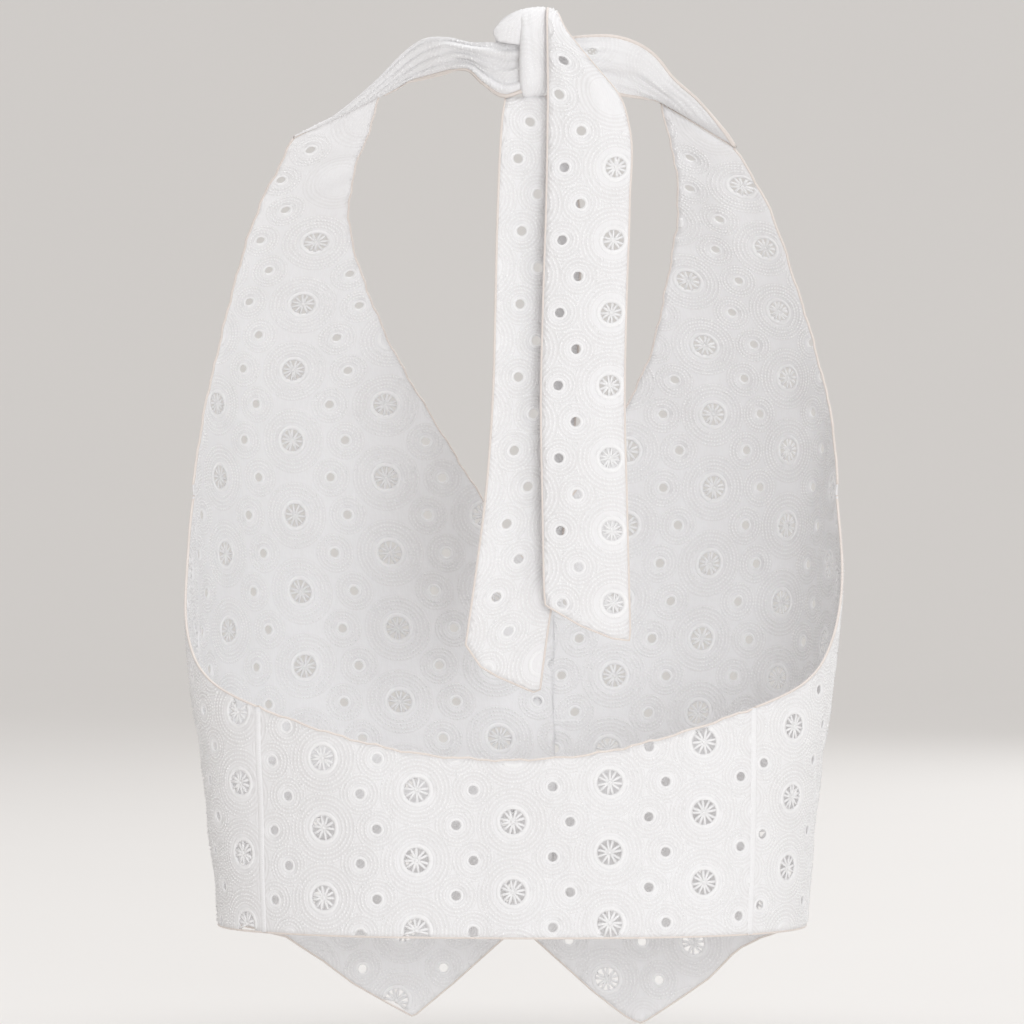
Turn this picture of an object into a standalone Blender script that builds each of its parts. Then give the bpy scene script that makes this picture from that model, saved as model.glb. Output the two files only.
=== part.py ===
"""A halter waistcoat in eyelet cotton, worn: two pointed fronts that run up into ties, side panels, a
back band, and a knot at the nape with two hanging ends.

Every piece of cloth is a flat pattern, in metres across and along the grain, with its eyelets punched on
one repeat. The body pieces are laid round a torso form; the ties follow the two edges of a folded strip.
X is towards the wearer's right, Y the way the wearer faces, Z up, and the origin is where the ties rest
on the nape.
"""

import math

import bpy
import numpy as np
from mathutils import Vector
from mathutils.geometry import delaunay_2d_cdt

# Driving sizes, in metres
ROOT_LENGTH = 0.0100  # of a tie, from the shoulder ridge until it leaves the form
WALL = 0.0016  # cloth with its turned edges
GAP = 0.0003  # between pieces that meet at a seam
MESH_STEP = 0.0190  # between points inside a piece
EDGE_STEP = 0.0115  # between points along an edge
NAPE = np.array((0.0, -0.063, 0.222))  # where the ties rest, from the middle of the torso at bust height

# Eyelets: an open wheel and a small round hole on one repeat
WHEEL_RADIUS = 0.0064
WHEEL_SIDES = 10
DOT_RADIUS = 0.0024
DOT_SIDES = 6
DOT_SWING = 0.0042  # small holes stand this far off the middle between two columns of wheels
WHEEL_MARGIN = 0.0006
DOT_MARGIN = 0.0040

# Button edge
RIGHT_EDGE = -0.0030  # the right front ends here, over the left one
LEFT_EDGE = 0.0155
BUTTON_X = 0.0125
BUTTON_HEIGHTS = (-0.0480, -0.1100, -0.1720)
BUTTON_RADIUS = 0.0090
BUTTON_THICK = 0.0030

# Side seams: arc from the centre back, and arc from the centre front at two heights
BACK_SEAM = 0.1250
FRONT_SEAM = ((-0.270, 0.181), (-0.210, 0.185), (-0.095, 0.205), (0.030, 0.205))

# Torso form
# height, half width, front depth, back depth, middle, squareness
FORM = np.array(
    (
        (-0.270, 0.1480, 0.098, 0.090, 0.000, 2.40),
        (-0.210, 0.1465, 0.094, 0.087, 0.000, 2.40),
        (-0.160, 0.1510, 0.095, 0.087, 0.000, 2.40),
        (-0.120, 0.1560, 0.102, 0.089, 0.000, 2.45),
        (-0.080, 0.1610, 0.115, 0.092, 0.000, 2.50),
        (-0.040, 0.1645, 0.124, 0.095, 0.000, 2.50),
        (0.000, 0.1650, 0.122, 0.096, 0.000, 2.50),
        (0.050, 0.1650, 0.110, 0.090, -0.002, 2.40),
        (0.100, 0.1630, 0.090, 0.076, -0.012, 2.30),
        (0.150, 0.1580, 0.068, 0.060, -0.033, 2.25),
        (0.200, 0.1520, 0.050, 0.046, -0.062, 2.20),
        (0.250, 0.1480, 0.040, 0.040, -0.078, 2.20),
    )
)

# How far the columns of eyelets lean to the centre on the fronts: height, lean
LEAN = np.array(
    (
        (-0.270, 0.010),
        (-0.120, 0.010),
        (-0.100, 0.008),
        (-0.060, 0.006),
        (-0.025, 0.002),
        (0.030, 0.000),
        (0.060, 0.001),
        (0.090, 0.006),
        (0.115, 0.013),
        (0.140, 0.021),
        (0.165, 0.033),
        (0.210, 0.060),
    )
)

# Neck edge of the fronts: height, arc of the left front, arc of the right front
NECK = np.array(
    (
        (-0.048, -LEFT_EDGE, -0.0095),
        (-0.031, -0.0047, 0.0013),
        (0.005, 0.0199, 0.0240),
        (0.043, 0.0430, 0.0480),
        (0.084, 0.0660, 0.0690),
        (0.107, 0.0753, 0.0750),
        (0.128, 0.0820, 0.0795),
        (0.151, 0.0850, 0.0834),
        (0.165, 0.0826, 0.0835),
        (0.180, 0.0770, 0.0815),
        (0.196, 0.0690, 0.0770),
        (0.210, 0.0655, 0.0755),
    )
)

# Armhole edge, the same on both sides: height, arc from the centre front
ARMHOLE = np.array(
    (
        (0.008, 0.209),
        (0.014, 0.206),
        (0.034, 0.195),
        (0.055, 0.1845),
        (0.075, 0.172),
        (0.095, 0.161),
        (0.115, 0.151),
        (0.135, 0.1415),
        (0.155, 0.131),
        (0.174, 0.1185),
        (0.188, 0.1090),
    )
)

# Top edge of the side panels and the band: arc from the centre back, height
BACK_TOP = np.array(
    (
        (0.000, -0.1205),
        (0.040, -0.1175),
        (0.080, -0.1090),
        (0.114, -0.0990),
        (0.125, -0.0955),
        (0.140, -0.0905),
        (0.154, -0.0850),
        (0.170, -0.0760),
        (0.184, -0.0650),
        (0.198, -0.0530),
        (0.211, -0.0400),
        (0.226, -0.0230),
        (0.237, -0.0060),
        (0.246, 0.0090),
    )
)
# Shoulder ridge, where the fronts become ties: height at the neck edge and at the armhole edge
RIDGE = {-1: (0.2070, 0.1870), 1: (0.2030, 0.1820)}
BAND_HEM = -0.2065
SEAM_HEIGHTS = np.linspace(BAND_HEM, 0.0080, 24)  # where both edges of a front seam have their points

# Hem of the fronts: arc from the centre front, height
FRONT_HEM = np.array(
    (
        (0.0000, -0.2115),
        (0.0570, -0.2620),
        (0.0600, -0.2635),
        (0.0635, -0.2620),
        (0.1120, -0.2250),
        (0.1260, -0.2180),
        (0.1500, -0.2130),
        (0.1850, -0.2065),
    )
)

# Eyelet repeat of each piece
# first column, column gap, first row of that column, row gap, rise from column to column
REPEAT = {
    "front_left": (0.0210, 0.0510, -0.0016, 0.0400, 0.0),
    "front_right": (0.0085, 0.0470, 0.0130, 0.0400, 0.0),
    "back_band": (0.0045, 0.0470, -0.1500, 0.0342, 0.0020),
    "side_left": (-0.1375, 0.0470, -0.1330, 0.0350, 0.0),
    "side_right": (0.1500, 0.0470, -0.1400, 0.0350, 0.0),
    "tail_right": (0.0128, 0.0412, 0.0963, 0.0351, 0.0),
    "tail_left": (0.0195, 0.0470, 0.0305, 0.0355, 0.0),
}

# Ties, as the two edges of a folded strip, in millimetres
# lower or left edge, upper or right edge, fold depth
STRAP_LEFT = (
    (-65.9, -20.2, 206.6, -107.0, -14.2, 187.2, 0.0),
    (-59.0, -29.0, 209.5, -88.2, -27.0, 196.0, 1.2),
    (-50.1, -39.0, 211.6, -67.5, -39.0, 211.5, 2.2),
    (-40.6, -48.5, 213.4, -50.5, -48.5, 227.0, 2.6),
    (-33.7, -55.5, 214.8, -41.6, -55.0, 232.0, 2.6),
    (-24.4, -63.0, 216.6, -29.8, -62.5, 232.6, 2.5),
    (-17.0, -69.0, 215.6, -17.6, -68.5, 229.6, 2.3),
    (-9.5, -75.0, 209.5, -7.0, -75.0, 229.0, 2.6),
    (-0.5, -79.5, 204.5, 1.5, -79.5, 228.5, 2.6),
    (9.5, -82.4, 209.0, 10.0, -82.4, 228.0, 2.6),
    (15.5, -82.8, 211.0, 15.8, -82.8, 227.0, 2.5),
)
STRAP_RIGHT = (
    (75.6, -18.5, 203.0, 112.6, -12.5, 182.0, 0.0),
    (72.3, -28.0, 204.6, 105.6, -25.0, 189.5, 0.8),
    (68.6, -37.0, 204.0, 92.7, -36.0, 204.0, 1.4),
    (64.3, -46.0, 203.6, 81.0, -46.0, 214.0, 1.8),
    (59.5, -54.0, 203.8, 72.8, -54.0, 223.4, 2.0),
    (53.3, -62.0, 204.7, 64.0, -62.0, 229.0, 2.0),
    (45.2, -69.0, 206.0, 52.0, -69.0, 232.0, 2.0),
    (35.6, -73.0, 208.0, 40.0, -73.0, 231.6, 2.0),
    (24.5, -73.5, 210.0, 26.5, -73.5, 230.0, 1.8),
    (10.5, -72.8, 211.5, 11.5, -72.8, 228.0, 1.6),
)
KNOT_WRAP = (
    (9.5, -67.0, 208.0, 20.0, -67.0, 208.0, 0.6),
    (9.2, -75.0, 202.6, 20.3, -75.0, 202.6, 0.8),
    (9.0, -83.5, 203.8, 20.6, -83.5, 203.8, 1.0),
    (9.0, -87.6, 210.0, 20.6, -87.6, 210.0, 1.6),
    (8.8, -88.4, 219.0, 20.6, -88.4, 219.0, 1.9),
    (8.6, -87.8, 230.0, 20.6, -87.8, 230.0, 1.9),
    (8.4, -85.0, 238.5, 20.6, -85.0, 239.0, 1.5),
    (6.5, -79.5, 243.0, 20.6, -80.0, 244.5, 0.8),
    (1.0, -73.5, 241.0, 20.4, -73.5, 244.0, 0.5),
    (-4.0, -69.0, 235.0, 20.0, -68.0, 238.0, 0.4),
    (-5.5, -66.8, 226.0, 19.0, -66.0, 228.0, 0.4),
)
TAIL_RIGHT = (
    (21.2, -70.0, 239.5, 24.0, -70.0, 238.0, 0.0),
    (21.2, -76.0, 244.5, 24.5, -76.0, 243.0, -0.2),
    (21.2, -83.0, 244.0, 26.5, -83.0, 241.0, -0.4),
    (21.3, -88.5, 238.5, 29.5, -88.0, 234.5, -0.6),
    (21.5, -91.0, 229.0, 36.0, -90.5, 226.0, -1.0),
    (21.7, -91.8, 216.0, 46.0, -91.0, 214.0, -1.6),
    (21.8, -92.0, 202.0, 56.4, -91.5, 201.0, -2.2),
    (21.6, -92.0, 185.0, 61.2, -91.5, 185.0, -2.6),
    (21.0, -92.0, 150.0, 61.2, -91.5, 150.0, -2.4),
    (19.4, -92.0, 100.0, 59.6, -91.5, 100.0, -2.0),
    (18.4, -92.0, 54.0, 58.8, -91.5, 54.0, -1.8),
    (19.2, -92.0, 0.0, 60.0, -91.5, 0.0, -2.0),
    (20.4, -92.0, -64.0, 61.6, -91.5, -64.0, -2.2),
)
TAIL_LEFT = (
    (3.0, -80.5, 200.9, 19.5, -80.5, 200.9, -0.8),
    (0.5, -83.5, 192.0, 24.0, -83.5, 193.0, 0.6),
    (-1.4, -85.0, 178.0, 30.0, -85.0, 180.0, 1.2),
    (-2.8, -86.0, 150.0, 36.0, -86.0, 151.0, 1.5),
    (-4.0, -86.5, 100.0, 36.2, -86.0, 100.0, 1.6),
    (-5.0, -86.5, 60.0, 35.2, -86.0, 60.0, 1.6),
    (-9.0, -86.5, 5.0, 31.0, -86.0, 7.0, 1.5),
    (-13.5, -86.5, -30.0, 26.0, -86.0, -27.0, 1.3),
    (-18.0, -86.5, -62.0, 21.5, -86.0, -57.0, 1.2),
    (-22.0, -86.5, -92.0, 17.5, -86.0, -87.0, 1.2),
)

PHI = np.linspace(0.0, math.pi, 241)


def through(x, table, column):
    """Smooth curve through one column of a table, read at x."""
    xs = table[:, 0]
    ys = table[:, column]
    x = np.clip(np.asarray(x, float), xs[0], xs[-1])
    slope = np.gradient(ys, xs)
    i = np.clip(np.searchsorted(xs, x) - 1, 0, len(xs) - 2)
    h = xs[i + 1] - xs[i]
    t = (x - xs[i]) / h
    rise = (1 + 2 * t) * (1 - t) ** 2 * ys[i] + t * t * (3 - 2 * t) * ys[i + 1]
    return rise + t * (1 - t) * h * ((1 - t) * slope[i] - t * slope[i + 1])


def section(height):
    """Half sections of the form, from centre front to centre back: x, y and arc."""
    wide, front, back, middle, square = (through(height, FORM, k)[:, None] for k in range(1, 6))
    deep = np.where(PHI < math.pi / 2, front, back)
    reach = ((np.sin(PHI) / wide) ** square + (np.abs(np.cos(PHI)) / deep) ** square) ** (-1 / square)
    x = reach * np.sin(PHI)
    y = middle + reach * np.cos(PHI)
    arc = np.cumsum(np.hypot(np.diff(x, axis=1), np.diff(y, axis=1)), axis=1)
    return x, y, np.hstack([np.zeros((len(arc), 1)), arc])


def on_form(arc, height):
    """Points of the form at arcs from the centre front, positive towards +X."""
    x, y, arcs = section(height)
    rows = range(len(arc))
    px = [math.copysign(np.interp(abs(arc[k]), arcs[k], x[k]), arc[k]) for k in rows]
    py = [np.interp(abs(arc[k]), arcs[k], y[k]) for k in rows]
    return np.column_stack([px, py, height])


def outward(arc, height):
    """Normals of the form, pointing away from the body."""
    step = 0.001
    across = on_form(arc + step, height) - on_form(arc - step, height)
    up = on_form(arc, height + step) - on_form(arc, height - step)
    normal = np.cross(up, across)
    return normal / np.linalg.norm(normal, axis=1)[:, None]


# Length along the front at the bust line against height, for the grain of the fronts
LADDER = np.linspace(-0.275, 0.245, 105)
RISE = on_form(np.full(105, 0.100), LADDER)
RISE = np.concatenate([[0.0], np.cumsum(np.linalg.norm(np.diff(RISE, axis=0), axis=1))])
RISE -= np.interp(0.0, LADDER, RISE)


def half_girth(height):
    return section(np.atleast_1d(height))[2][:, -1]


def front_flat(arc, height):
    """Form to pattern, on a front: arc from the centre and height to across and along the grain."""
    return np.column_stack([arc + through(height, LEAN, 1), np.interp(height, LADDER, RISE)])


def front_worn(side, layer):
    """Pattern to form, on a front: side is 1 for the right one; layer is out or in at the button edge."""

    def wrap(flat):
        height = np.interp(flat[:, 1], RISE, LADDER)
        arc = flat[:, 0] - through(height, LEAN, 1)
        lap = np.clip((0.050 - arc) / 0.030, 0.0, 1.0)
        lap = lap * lap * (3 - 2 * lap)
        lift = layer * lap * (WALL + GAP) / 2
        points = on_form(side * arc, height)
        return points + outward(side * arc, height) * lift[:, None]

    return wrap


def back_worn(flat):
    """Pattern to form, on the band and the side panels: across is the arc from the centre back."""
    arc = half_girth(flat[:, 1]) - np.abs(flat[:, 0])
    return on_form(np.where(flat[:, 0] < 0, -arc, arc), flat[:, 1])


def ridge_root(side, neck_column):
    """The start of a tie, where it goes on from the top edge of its front."""
    high, low = RIDGE[side]
    neck = through(high, NECK, neck_column)
    arm = through(low, ARMHOLE, 1)

    def root(share, along):
        arc = (neck + arm) / 2 + (arm - neck) / 2 * share
        height = (high + low) / 2 - (high - low) / 2 * share + WALL / 2 + GAP * 1.5
        return on_form(side * (arc - 0.40 * along), height + 0.40 * along)

    return root


def strip_worn(stations, half, folds, root=None):
    """Pattern to a folded strip: across runs from its first edge to its second, along is its length.

    With no half width given, the strip lies flat at the width of its stations.
    """
    table = np.array(stations)
    table /= 1000.0
    middle = (table[:, 0:3] + table[:, 3:6]) / 2
    length = np.concatenate([[0.0], np.cumsum(np.linalg.norm(np.diff(middle, axis=0), axis=1))])
    rows = np.column_stack([length, table])

    def edge(along, first):
        return np.column_stack([through(along, rows, first + k) for k in range(3)])

    def centre(along):
        return (edge(along, 4) + edge(along, 1)) / 2

    def half_arm(along):
        return (edge(along, 4) - edge(along, 1)) / 2

    def width(along):
        return np.linalg.norm(half_arm(along), axis=1)

    def wrap(flat):
        along = flat[:, 1]
        arm = half_arm(along)
        share = flat[:, 0] / (half or width(along))
        run = centre(np.minimum(along + 0.001, length[-1])) - centre(np.maximum(along - 0.001, 0.0))
        normal = np.cross(arm, run)
        normal /= np.linalg.norm(normal, axis=1)[:, None]
        depth = through(along, rows, 7)
        ripple = np.sin(folds * math.pi * share + 0.5)
        ripple += 0.4 * np.sin((folds + 1.6) * math.pi * share + 2.2)
        wave = depth * (ripple if folds else 1.0 - share * share)
        points = centre(along) + arm * share[:, None] + normal * wave[:, None]
        if root:
            blend = np.clip(along / ROOT_LENGTH, 0.0, 1.0)[:, None]
            blend = blend * blend * (3 - 2 * blend)
            points = root(share, along) * (1 - blend) + points * blend
        return points

    return wrap, length[-1], width


def walk(corners, step):
    """Closed outline with points no further apart than the step."""
    out = []
    for start, end in zip(corners, np.roll(corners, -1, axis=0)):
        count = max(1, math.ceil(np.linalg.norm(end - start) / step))
        out += [start + (end - start) * k / count for k in range(count)]
    return np.array(out)


def room(points, outline):
    """Distance of points from an outline, negative outside it."""
    start = outline[None]
    run = np.roll(outline, -1, axis=0)[None] - start
    off = points[:, None] - start
    t = np.clip((off * run).sum(-1) / (run * run).sum(-1), 0.0, 1.0)
    near = np.linalg.norm(off - run * t[..., None], axis=-1).min(axis=1)
    above = off[..., 1] < 0
    below = np.roll(above, -1, axis=1)
    side = run[..., 0] * off[..., 1] - run[..., 1] * off[..., 0]
    crossed = (above != below) & ((side > 0) == (run[..., 1] < 0))
    return np.where(crossed.sum(axis=1) % 2 == 1, near, -near)


def eyelets(repeat, outline):
    """Centres, radii and side counts of the eyelets whose rims lie wholly on the piece."""
    column, column_gap, row, row_gap, rise = repeat
    first = np.floor((outline.min(axis=0) - (column, row)) / (column_gap, row_gap / 2)).astype(int) - 1
    last = np.ceil((outline.max(axis=0) - (column, row)) / (column_gap, row_gap / 2)).astype(int) + 1
    found = []
    for i in range(first[0], last[0]):
        for j in range(first[1], last[1]):
            wheel_here = (i + j) % 2 == 0
            x = column + i * column_gap
            y = row + j * row_gap / 2 + i * rise
            if wheel_here:
                found.append((x, y, WHEEL_RADIUS, WHEEL_SIDES, WHEEL_MARGIN))
            swing = DOT_SWING if wheel_here else -DOT_SWING
            found.append((x + column_gap / 2 + swing, y, DOT_RADIUS, DOT_SIDES, DOT_MARGIN))
    found = np.array(found)
    return found[room(found[:, :2], outline) > found[:, 2] + found[:, 4]]


def ring(x, y, radius, sides):
    turn = (np.arange(sides) + 0.5) * 2 * math.pi / sides
    return np.column_stack([x + radius * np.cos(turn), y + radius * np.sin(turn)])


def material(name, colour, rough):
    made = bpy.data.materials.new(name)
    made.use_nodes = True
    shader = made.node_tree.nodes["Principled BSDF"]
    shader.inputs["Base Color"].default_value = (*colour, 1.0)
    shader.inputs["Roughness"].default_value = rough
    return made


def place(name, mesh, coat):
    made = bpy.data.objects.new(name, mesh)
    made.data.materials.append(coat)
    WAISTCOAT.objects.link(made)
    return made


def cloth(name, corners, wrap, repeat=None, step=MESH_STEP, edge=EDGE_STEP, fine=None):
    """One piece: its flat outline, its eyelets, and the wall made from the worn surface.

    A tie has an even grid of its own step; a hanging end has finer rows up to the length fine, where it
    turns.
    """
    outline = walk(corners, edge)
    holes = eyelets(REPEAT[repeat], outline) if repeat else np.zeros((0, 5))
    loops = [outline] + [ring(x, y, radius, int(sides)) for x, y, radius, sides, _ in holes]
    low = outline.min(axis=0)
    high = outline.max(axis=0)
    levels = np.arange(low[1] if fine is None else fine, high[1], step * 0.87)
    if fine is not None:
        levels = np.append(np.arange(low[1] + 0.0050, fine - 0.0025, 0.0050), levels)
    grid = []
    for k, y in enumerate(levels):
        grid += [(x + step / 2 * (k % 2), y) for x in np.arange(low[0], high[0], step)]
    grid = np.array(grid)
    clear = room(grid, outline) > (step * 0.42 if fine is None else 0.0020)
    for x, y, radius, _, _ in holes:
        clear &= np.hypot(grid[:, 0] - x, grid[:, 1] - y) > radius + step * 0.30
    points = np.vstack(loops + [grid[clear]])
    edges = []
    first = 0
    for loop in loops:
        count = len(loop)
        edges += [(first + k, first + (k + 1) % count) for k in range(count)]
        first += count
    made = delaunay_2d_cdt([Vector(p) for p in points], edges, [], 1, 1e-7)
    flat = np.array([tuple(p) for p in made[0]])
    faces = np.array([tuple(f) for f in made[2]])
    middles = flat[faces].mean(axis=1)
    keep = room(middles, outline) > 0
    for x, y, radius, sides, _ in holes:
        keep &= np.hypot(middles[:, 0] - x, middles[:, 1] - y) > radius * math.cos(math.pi / sides) * 0.98
    faces = faces[keep]
    used = np.unique(faces)
    order = np.full(len(flat), -1)
    order[used] = np.arange(len(used))
    mesh = bpy.data.meshes.new(name)
    mesh.from_pydata((wrap(flat[used]) - NAPE).tolist(), [], order[faces].tolist())
    mesh.update()
    mesh.shade_smooth()
    made = place(name, mesh, COTTON)
    wall = made.modifiers.new("wall", "SOLIDIFY")
    wall.thickness = WALL
    wall.offset = 0.0
    wall.use_even_offset = True


def front_outline(side, neck_column, edge_arc):
    """Outline of a front on its pattern, from the foot of the button edge round by the seam and the ridge."""
    neck = NECK[NECK[:, neck_column] > edge_arc + 0.0010]
    cross = np.interp(edge_arc, NECK[:, neck_column], NECK[:, 0])
    hem = FRONT_HEM[1:]
    slope = (FRONT_HEM[1, 1] - FRONT_HEM[0, 1]) / (FRONT_HEM[1, 0] - FRONT_HEM[0, 0])
    seam = np.column_stack([np.interp(SEAM_HEIGHTS, *zip(*FRONT_SEAM)), SEAM_HEIGHTS])
    arm_heights = np.linspace(0.014, RIDGE[side][1], 17)
    arm = np.column_stack([through(arm_heights, ARMHOLE, 1), arm_heights])
    neck_heights = np.linspace(RIDGE[side][0], neck[0, 0], 22)
    neck_line = np.column_stack([through(neck_heights, NECK, neck_column), neck_heights])
    share = np.linspace(0.0, 1.0, 7)[1:-1, None]
    ridge = arm[-1] * (1 - share) + neck_line[0] * share
    corners = np.vstack(
        [
            [(edge_arc, FRONT_HEM[0, 1] + slope * edge_arc)],
            hem[:-1],
            seam,
            arm,
            ridge,
            neck_line,
            [(edge_arc, cross)],
        ]
    )
    return front_flat(corners[:, 0], corners[:, 1])


def band_outline():
    arcs = np.linspace(-BACK_SEAM + GAP / 2, BACK_SEAM - GAP / 2, 25)
    top = np.column_stack([arcs, through(np.abs(arcs), BACK_TOP, 1)])
    return np.vstack([[(arcs[-1], BAND_HEM), (arcs[0], BAND_HEM)], top])


def side_outline(side):
    """Outline of a side panel; across is the arc from the centre back."""
    seam = half_girth(SEAM_HEIGHTS) - np.interp(SEAM_HEIGHTS, *zip(*FRONT_SEAM)) - GAP
    arcs = np.linspace(seam[-1], BACK_SEAM + GAP / 2, 15)[1:]
    corners = np.vstack(
        [
            np.column_stack([seam, SEAM_HEIGHTS]),
            np.column_stack([arcs, through(arcs, BACK_TOP, 1)]),
            [(BACK_SEAM + GAP / 2, BAND_HEM)],
        ]
    )
    return corners * np.array((side, 1.0))


def strip_outline(half, length):
    """Outline of a folded strip: a plain rectangle."""
    return np.array([(-half, 0.0), (half, 0.0), (half, length), (-half, length)])


def tail_outline(width, fine, end):
    """Outline of a hanging end: it widens from the knot, and its foot is cut as a list of corners."""
    rise = np.concatenate([np.arange(0.0, fine, 0.0050), np.arange(fine, end[0][1] - 0.004, 0.0120)])
    half = width(rise)
    right = np.column_stack([half, rise])
    left = np.column_stack([-half, rise])[rise < end[-1][1] - 0.004]
    return np.vstack([right, end, left[::-1]])


def button(name, height):
    """A turned button: a flat disc with a rounded rim, its back just off the cloth."""
    turn = np.linspace(0.0, 2 * math.pi, 25)
    arcs = np.append(BUTTON_X + BUTTON_RADIUS * np.cos(turn), BUTTON_X)
    levels = np.append(height + BUTTON_RADIUS * np.sin(turn), height)
    normal = outward(arcs[-1:], levels[-1:])[0]
    under = on_form(arcs, levels)
    crest = ((under - under[-1]) @ normal).max()
    seat = under[-1] + normal * ((WALL + GAP) / 2 + WALL / 2 + crest + GAP + BUTTON_THICK / 2)
    bpy.ops.mesh.primitive_cylinder_add(vertices=16, radius=BUTTON_RADIUS, depth=BUTTON_THICK)
    made = bpy.context.object
    made.name = name
    made.location = seat - NAPE
    made.rotation_euler = Vector(normal).to_track_quat("Z", "Y").to_euler()
    rim = made.modifiers.new("rim", "BEVEL")
    rim.width = BUTTON_THICK * 0.3
    rim.segments = 1
    rim.limit_method = "ANGLE"
    made.data.shade_smooth()
    made.data.materials.append(SHELL)
    for holder in list(made.users_collection):
        holder.objects.unlink(made)
    WAISTCOAT.objects.link(made)


for old in list(bpy.data.objects):
    bpy.data.objects.remove(old)
WAISTCOAT = bpy.data.collections.new("halter_waistcoat")
bpy.context.scene.collection.children.link(WAISTCOAT)
COTTON = material("white_cotton", (0.90, 0.89, 0.88), 0.85)
SHELL = material("white_shell", (0.88, 0.87, 0.84), 0.25)

cloth("front_left", front_outline(-1, 1, -LEFT_EDGE), front_worn(-1, -1.0), "front_left")
cloth("front_right", front_outline(1, 2, RIGHT_EDGE), front_worn(1, 1.0), "front_right")
cloth("side_left", side_outline(-1.0), back_worn, "side_left")
cloth("side_right", side_outline(1.0), back_worn, "side_right")
cloth("back_band", band_outline(), back_worn, "back_band")

for name, stations, half, folds, root in (
    ("strap_left", STRAP_LEFT, 0.0225, 2.4, ridge_root(-1, 1)),
    ("strap_right", STRAP_RIGHT, 0.0225, 2.0, ridge_root(1, 2)),
    ("knot_wrap", KNOT_WRAP, 0.0060, 0, None),
):
    wrap, length, _ = strip_worn(stations, half, folds, root)
    cloth(name, strip_outline(half, length), wrap, None, 0.0050, 0.0045)

wrap, length, width = strip_worn(TAIL_RIGHT, None, 0)
foot = [
    (0.0200, length - 0.0020),
    (0.0120, length - 0.0030),
    (-0.0030, length - 0.0090),
    (-0.0200, length - 0.0190),
]
cloth("tail_right", tail_outline(width, 0.075, foot), wrap, "tail_right", 0.0130, EDGE_STEP, 0.075)

wrap, length, width = strip_worn(TAIL_LEFT, None, 0)
foot = [
    (0.0200, length - 0.0010),
    (0.0170, length),
    (-0.0020, length - 0.0100),
    (-0.0110, length - 0.0160),
    (-0.0200, length - 0.0280),
]
cloth("tail_left", tail_outline(width, 0.030, foot), wrap, "tail_left", 0.0130, EDGE_STEP, 0.030)

for name, height in zip(("button_top", "button_middle", "button_bottom"), BUTTON_HEIGHTS):
    button(name, height)
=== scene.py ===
# %% [markdown]
# # A halter waistcoat in eyelet cotton
# The waistcoat is worn and seen from behind: two pointed fronts button at the centre and run up over the
# shoulders into ties, the ties are knotted at the nape, and a straight band crosses the open back. All of
# it is one white cotton, punched and embroidered with open wheels and small eyelets.
#
# The solid model is loaded first. It is the frame: it settles where each piece lies, and it isn't changed.

# %% Load the frame
import math
from functools import partial

import bmesh
import bpy
import numpy as np
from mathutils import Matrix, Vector
from mathutils.geometry import delaunay_2d_cdt


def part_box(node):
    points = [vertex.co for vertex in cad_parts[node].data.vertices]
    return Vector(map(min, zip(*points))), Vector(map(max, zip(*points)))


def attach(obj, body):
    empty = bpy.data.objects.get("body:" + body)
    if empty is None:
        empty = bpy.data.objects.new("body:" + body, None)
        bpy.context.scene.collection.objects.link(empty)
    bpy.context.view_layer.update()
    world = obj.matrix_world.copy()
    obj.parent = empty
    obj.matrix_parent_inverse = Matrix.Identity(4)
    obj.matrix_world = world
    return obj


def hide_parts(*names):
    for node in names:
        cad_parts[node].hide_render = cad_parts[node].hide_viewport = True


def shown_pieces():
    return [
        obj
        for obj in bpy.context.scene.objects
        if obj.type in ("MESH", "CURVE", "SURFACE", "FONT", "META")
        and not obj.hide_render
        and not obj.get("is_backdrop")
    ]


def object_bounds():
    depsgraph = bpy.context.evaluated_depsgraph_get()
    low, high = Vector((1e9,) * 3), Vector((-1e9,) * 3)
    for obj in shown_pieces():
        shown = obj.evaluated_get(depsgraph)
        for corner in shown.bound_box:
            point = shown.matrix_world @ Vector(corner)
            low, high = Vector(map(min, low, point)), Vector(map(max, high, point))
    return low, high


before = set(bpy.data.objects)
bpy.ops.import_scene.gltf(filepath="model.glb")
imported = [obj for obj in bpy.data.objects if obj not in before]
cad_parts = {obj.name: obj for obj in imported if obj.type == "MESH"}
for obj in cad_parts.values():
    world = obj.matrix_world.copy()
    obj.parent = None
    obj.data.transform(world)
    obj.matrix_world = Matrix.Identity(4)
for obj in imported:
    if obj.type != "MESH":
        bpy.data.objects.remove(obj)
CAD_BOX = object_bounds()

print("solids:", len(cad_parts), "box", [[round(v, 3) for v in corner] for corner in CAD_BOX])

# %% [markdown]
# ## The torso form
# Cloth has no shape of its own, so the body pieces are described as flat patterns and a form that they are
# laid on. The form is a stack of rounded sections, each given by its half width, its depth to the front and
# to the back, and how square it is. Distances on it are arcs round the body, measured from the centre front.
# The sections are read once into a grid of one millimetre, because tens of thousands of stitches ask for
# their place on it, and a table that is looked up is much faster than a curve that is worked out each time.

# %% Form table and its grid
NAPE = np.array((0.0, -0.063, 0.222))  # where the ties rest, from the middle of the torso at bust height
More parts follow.
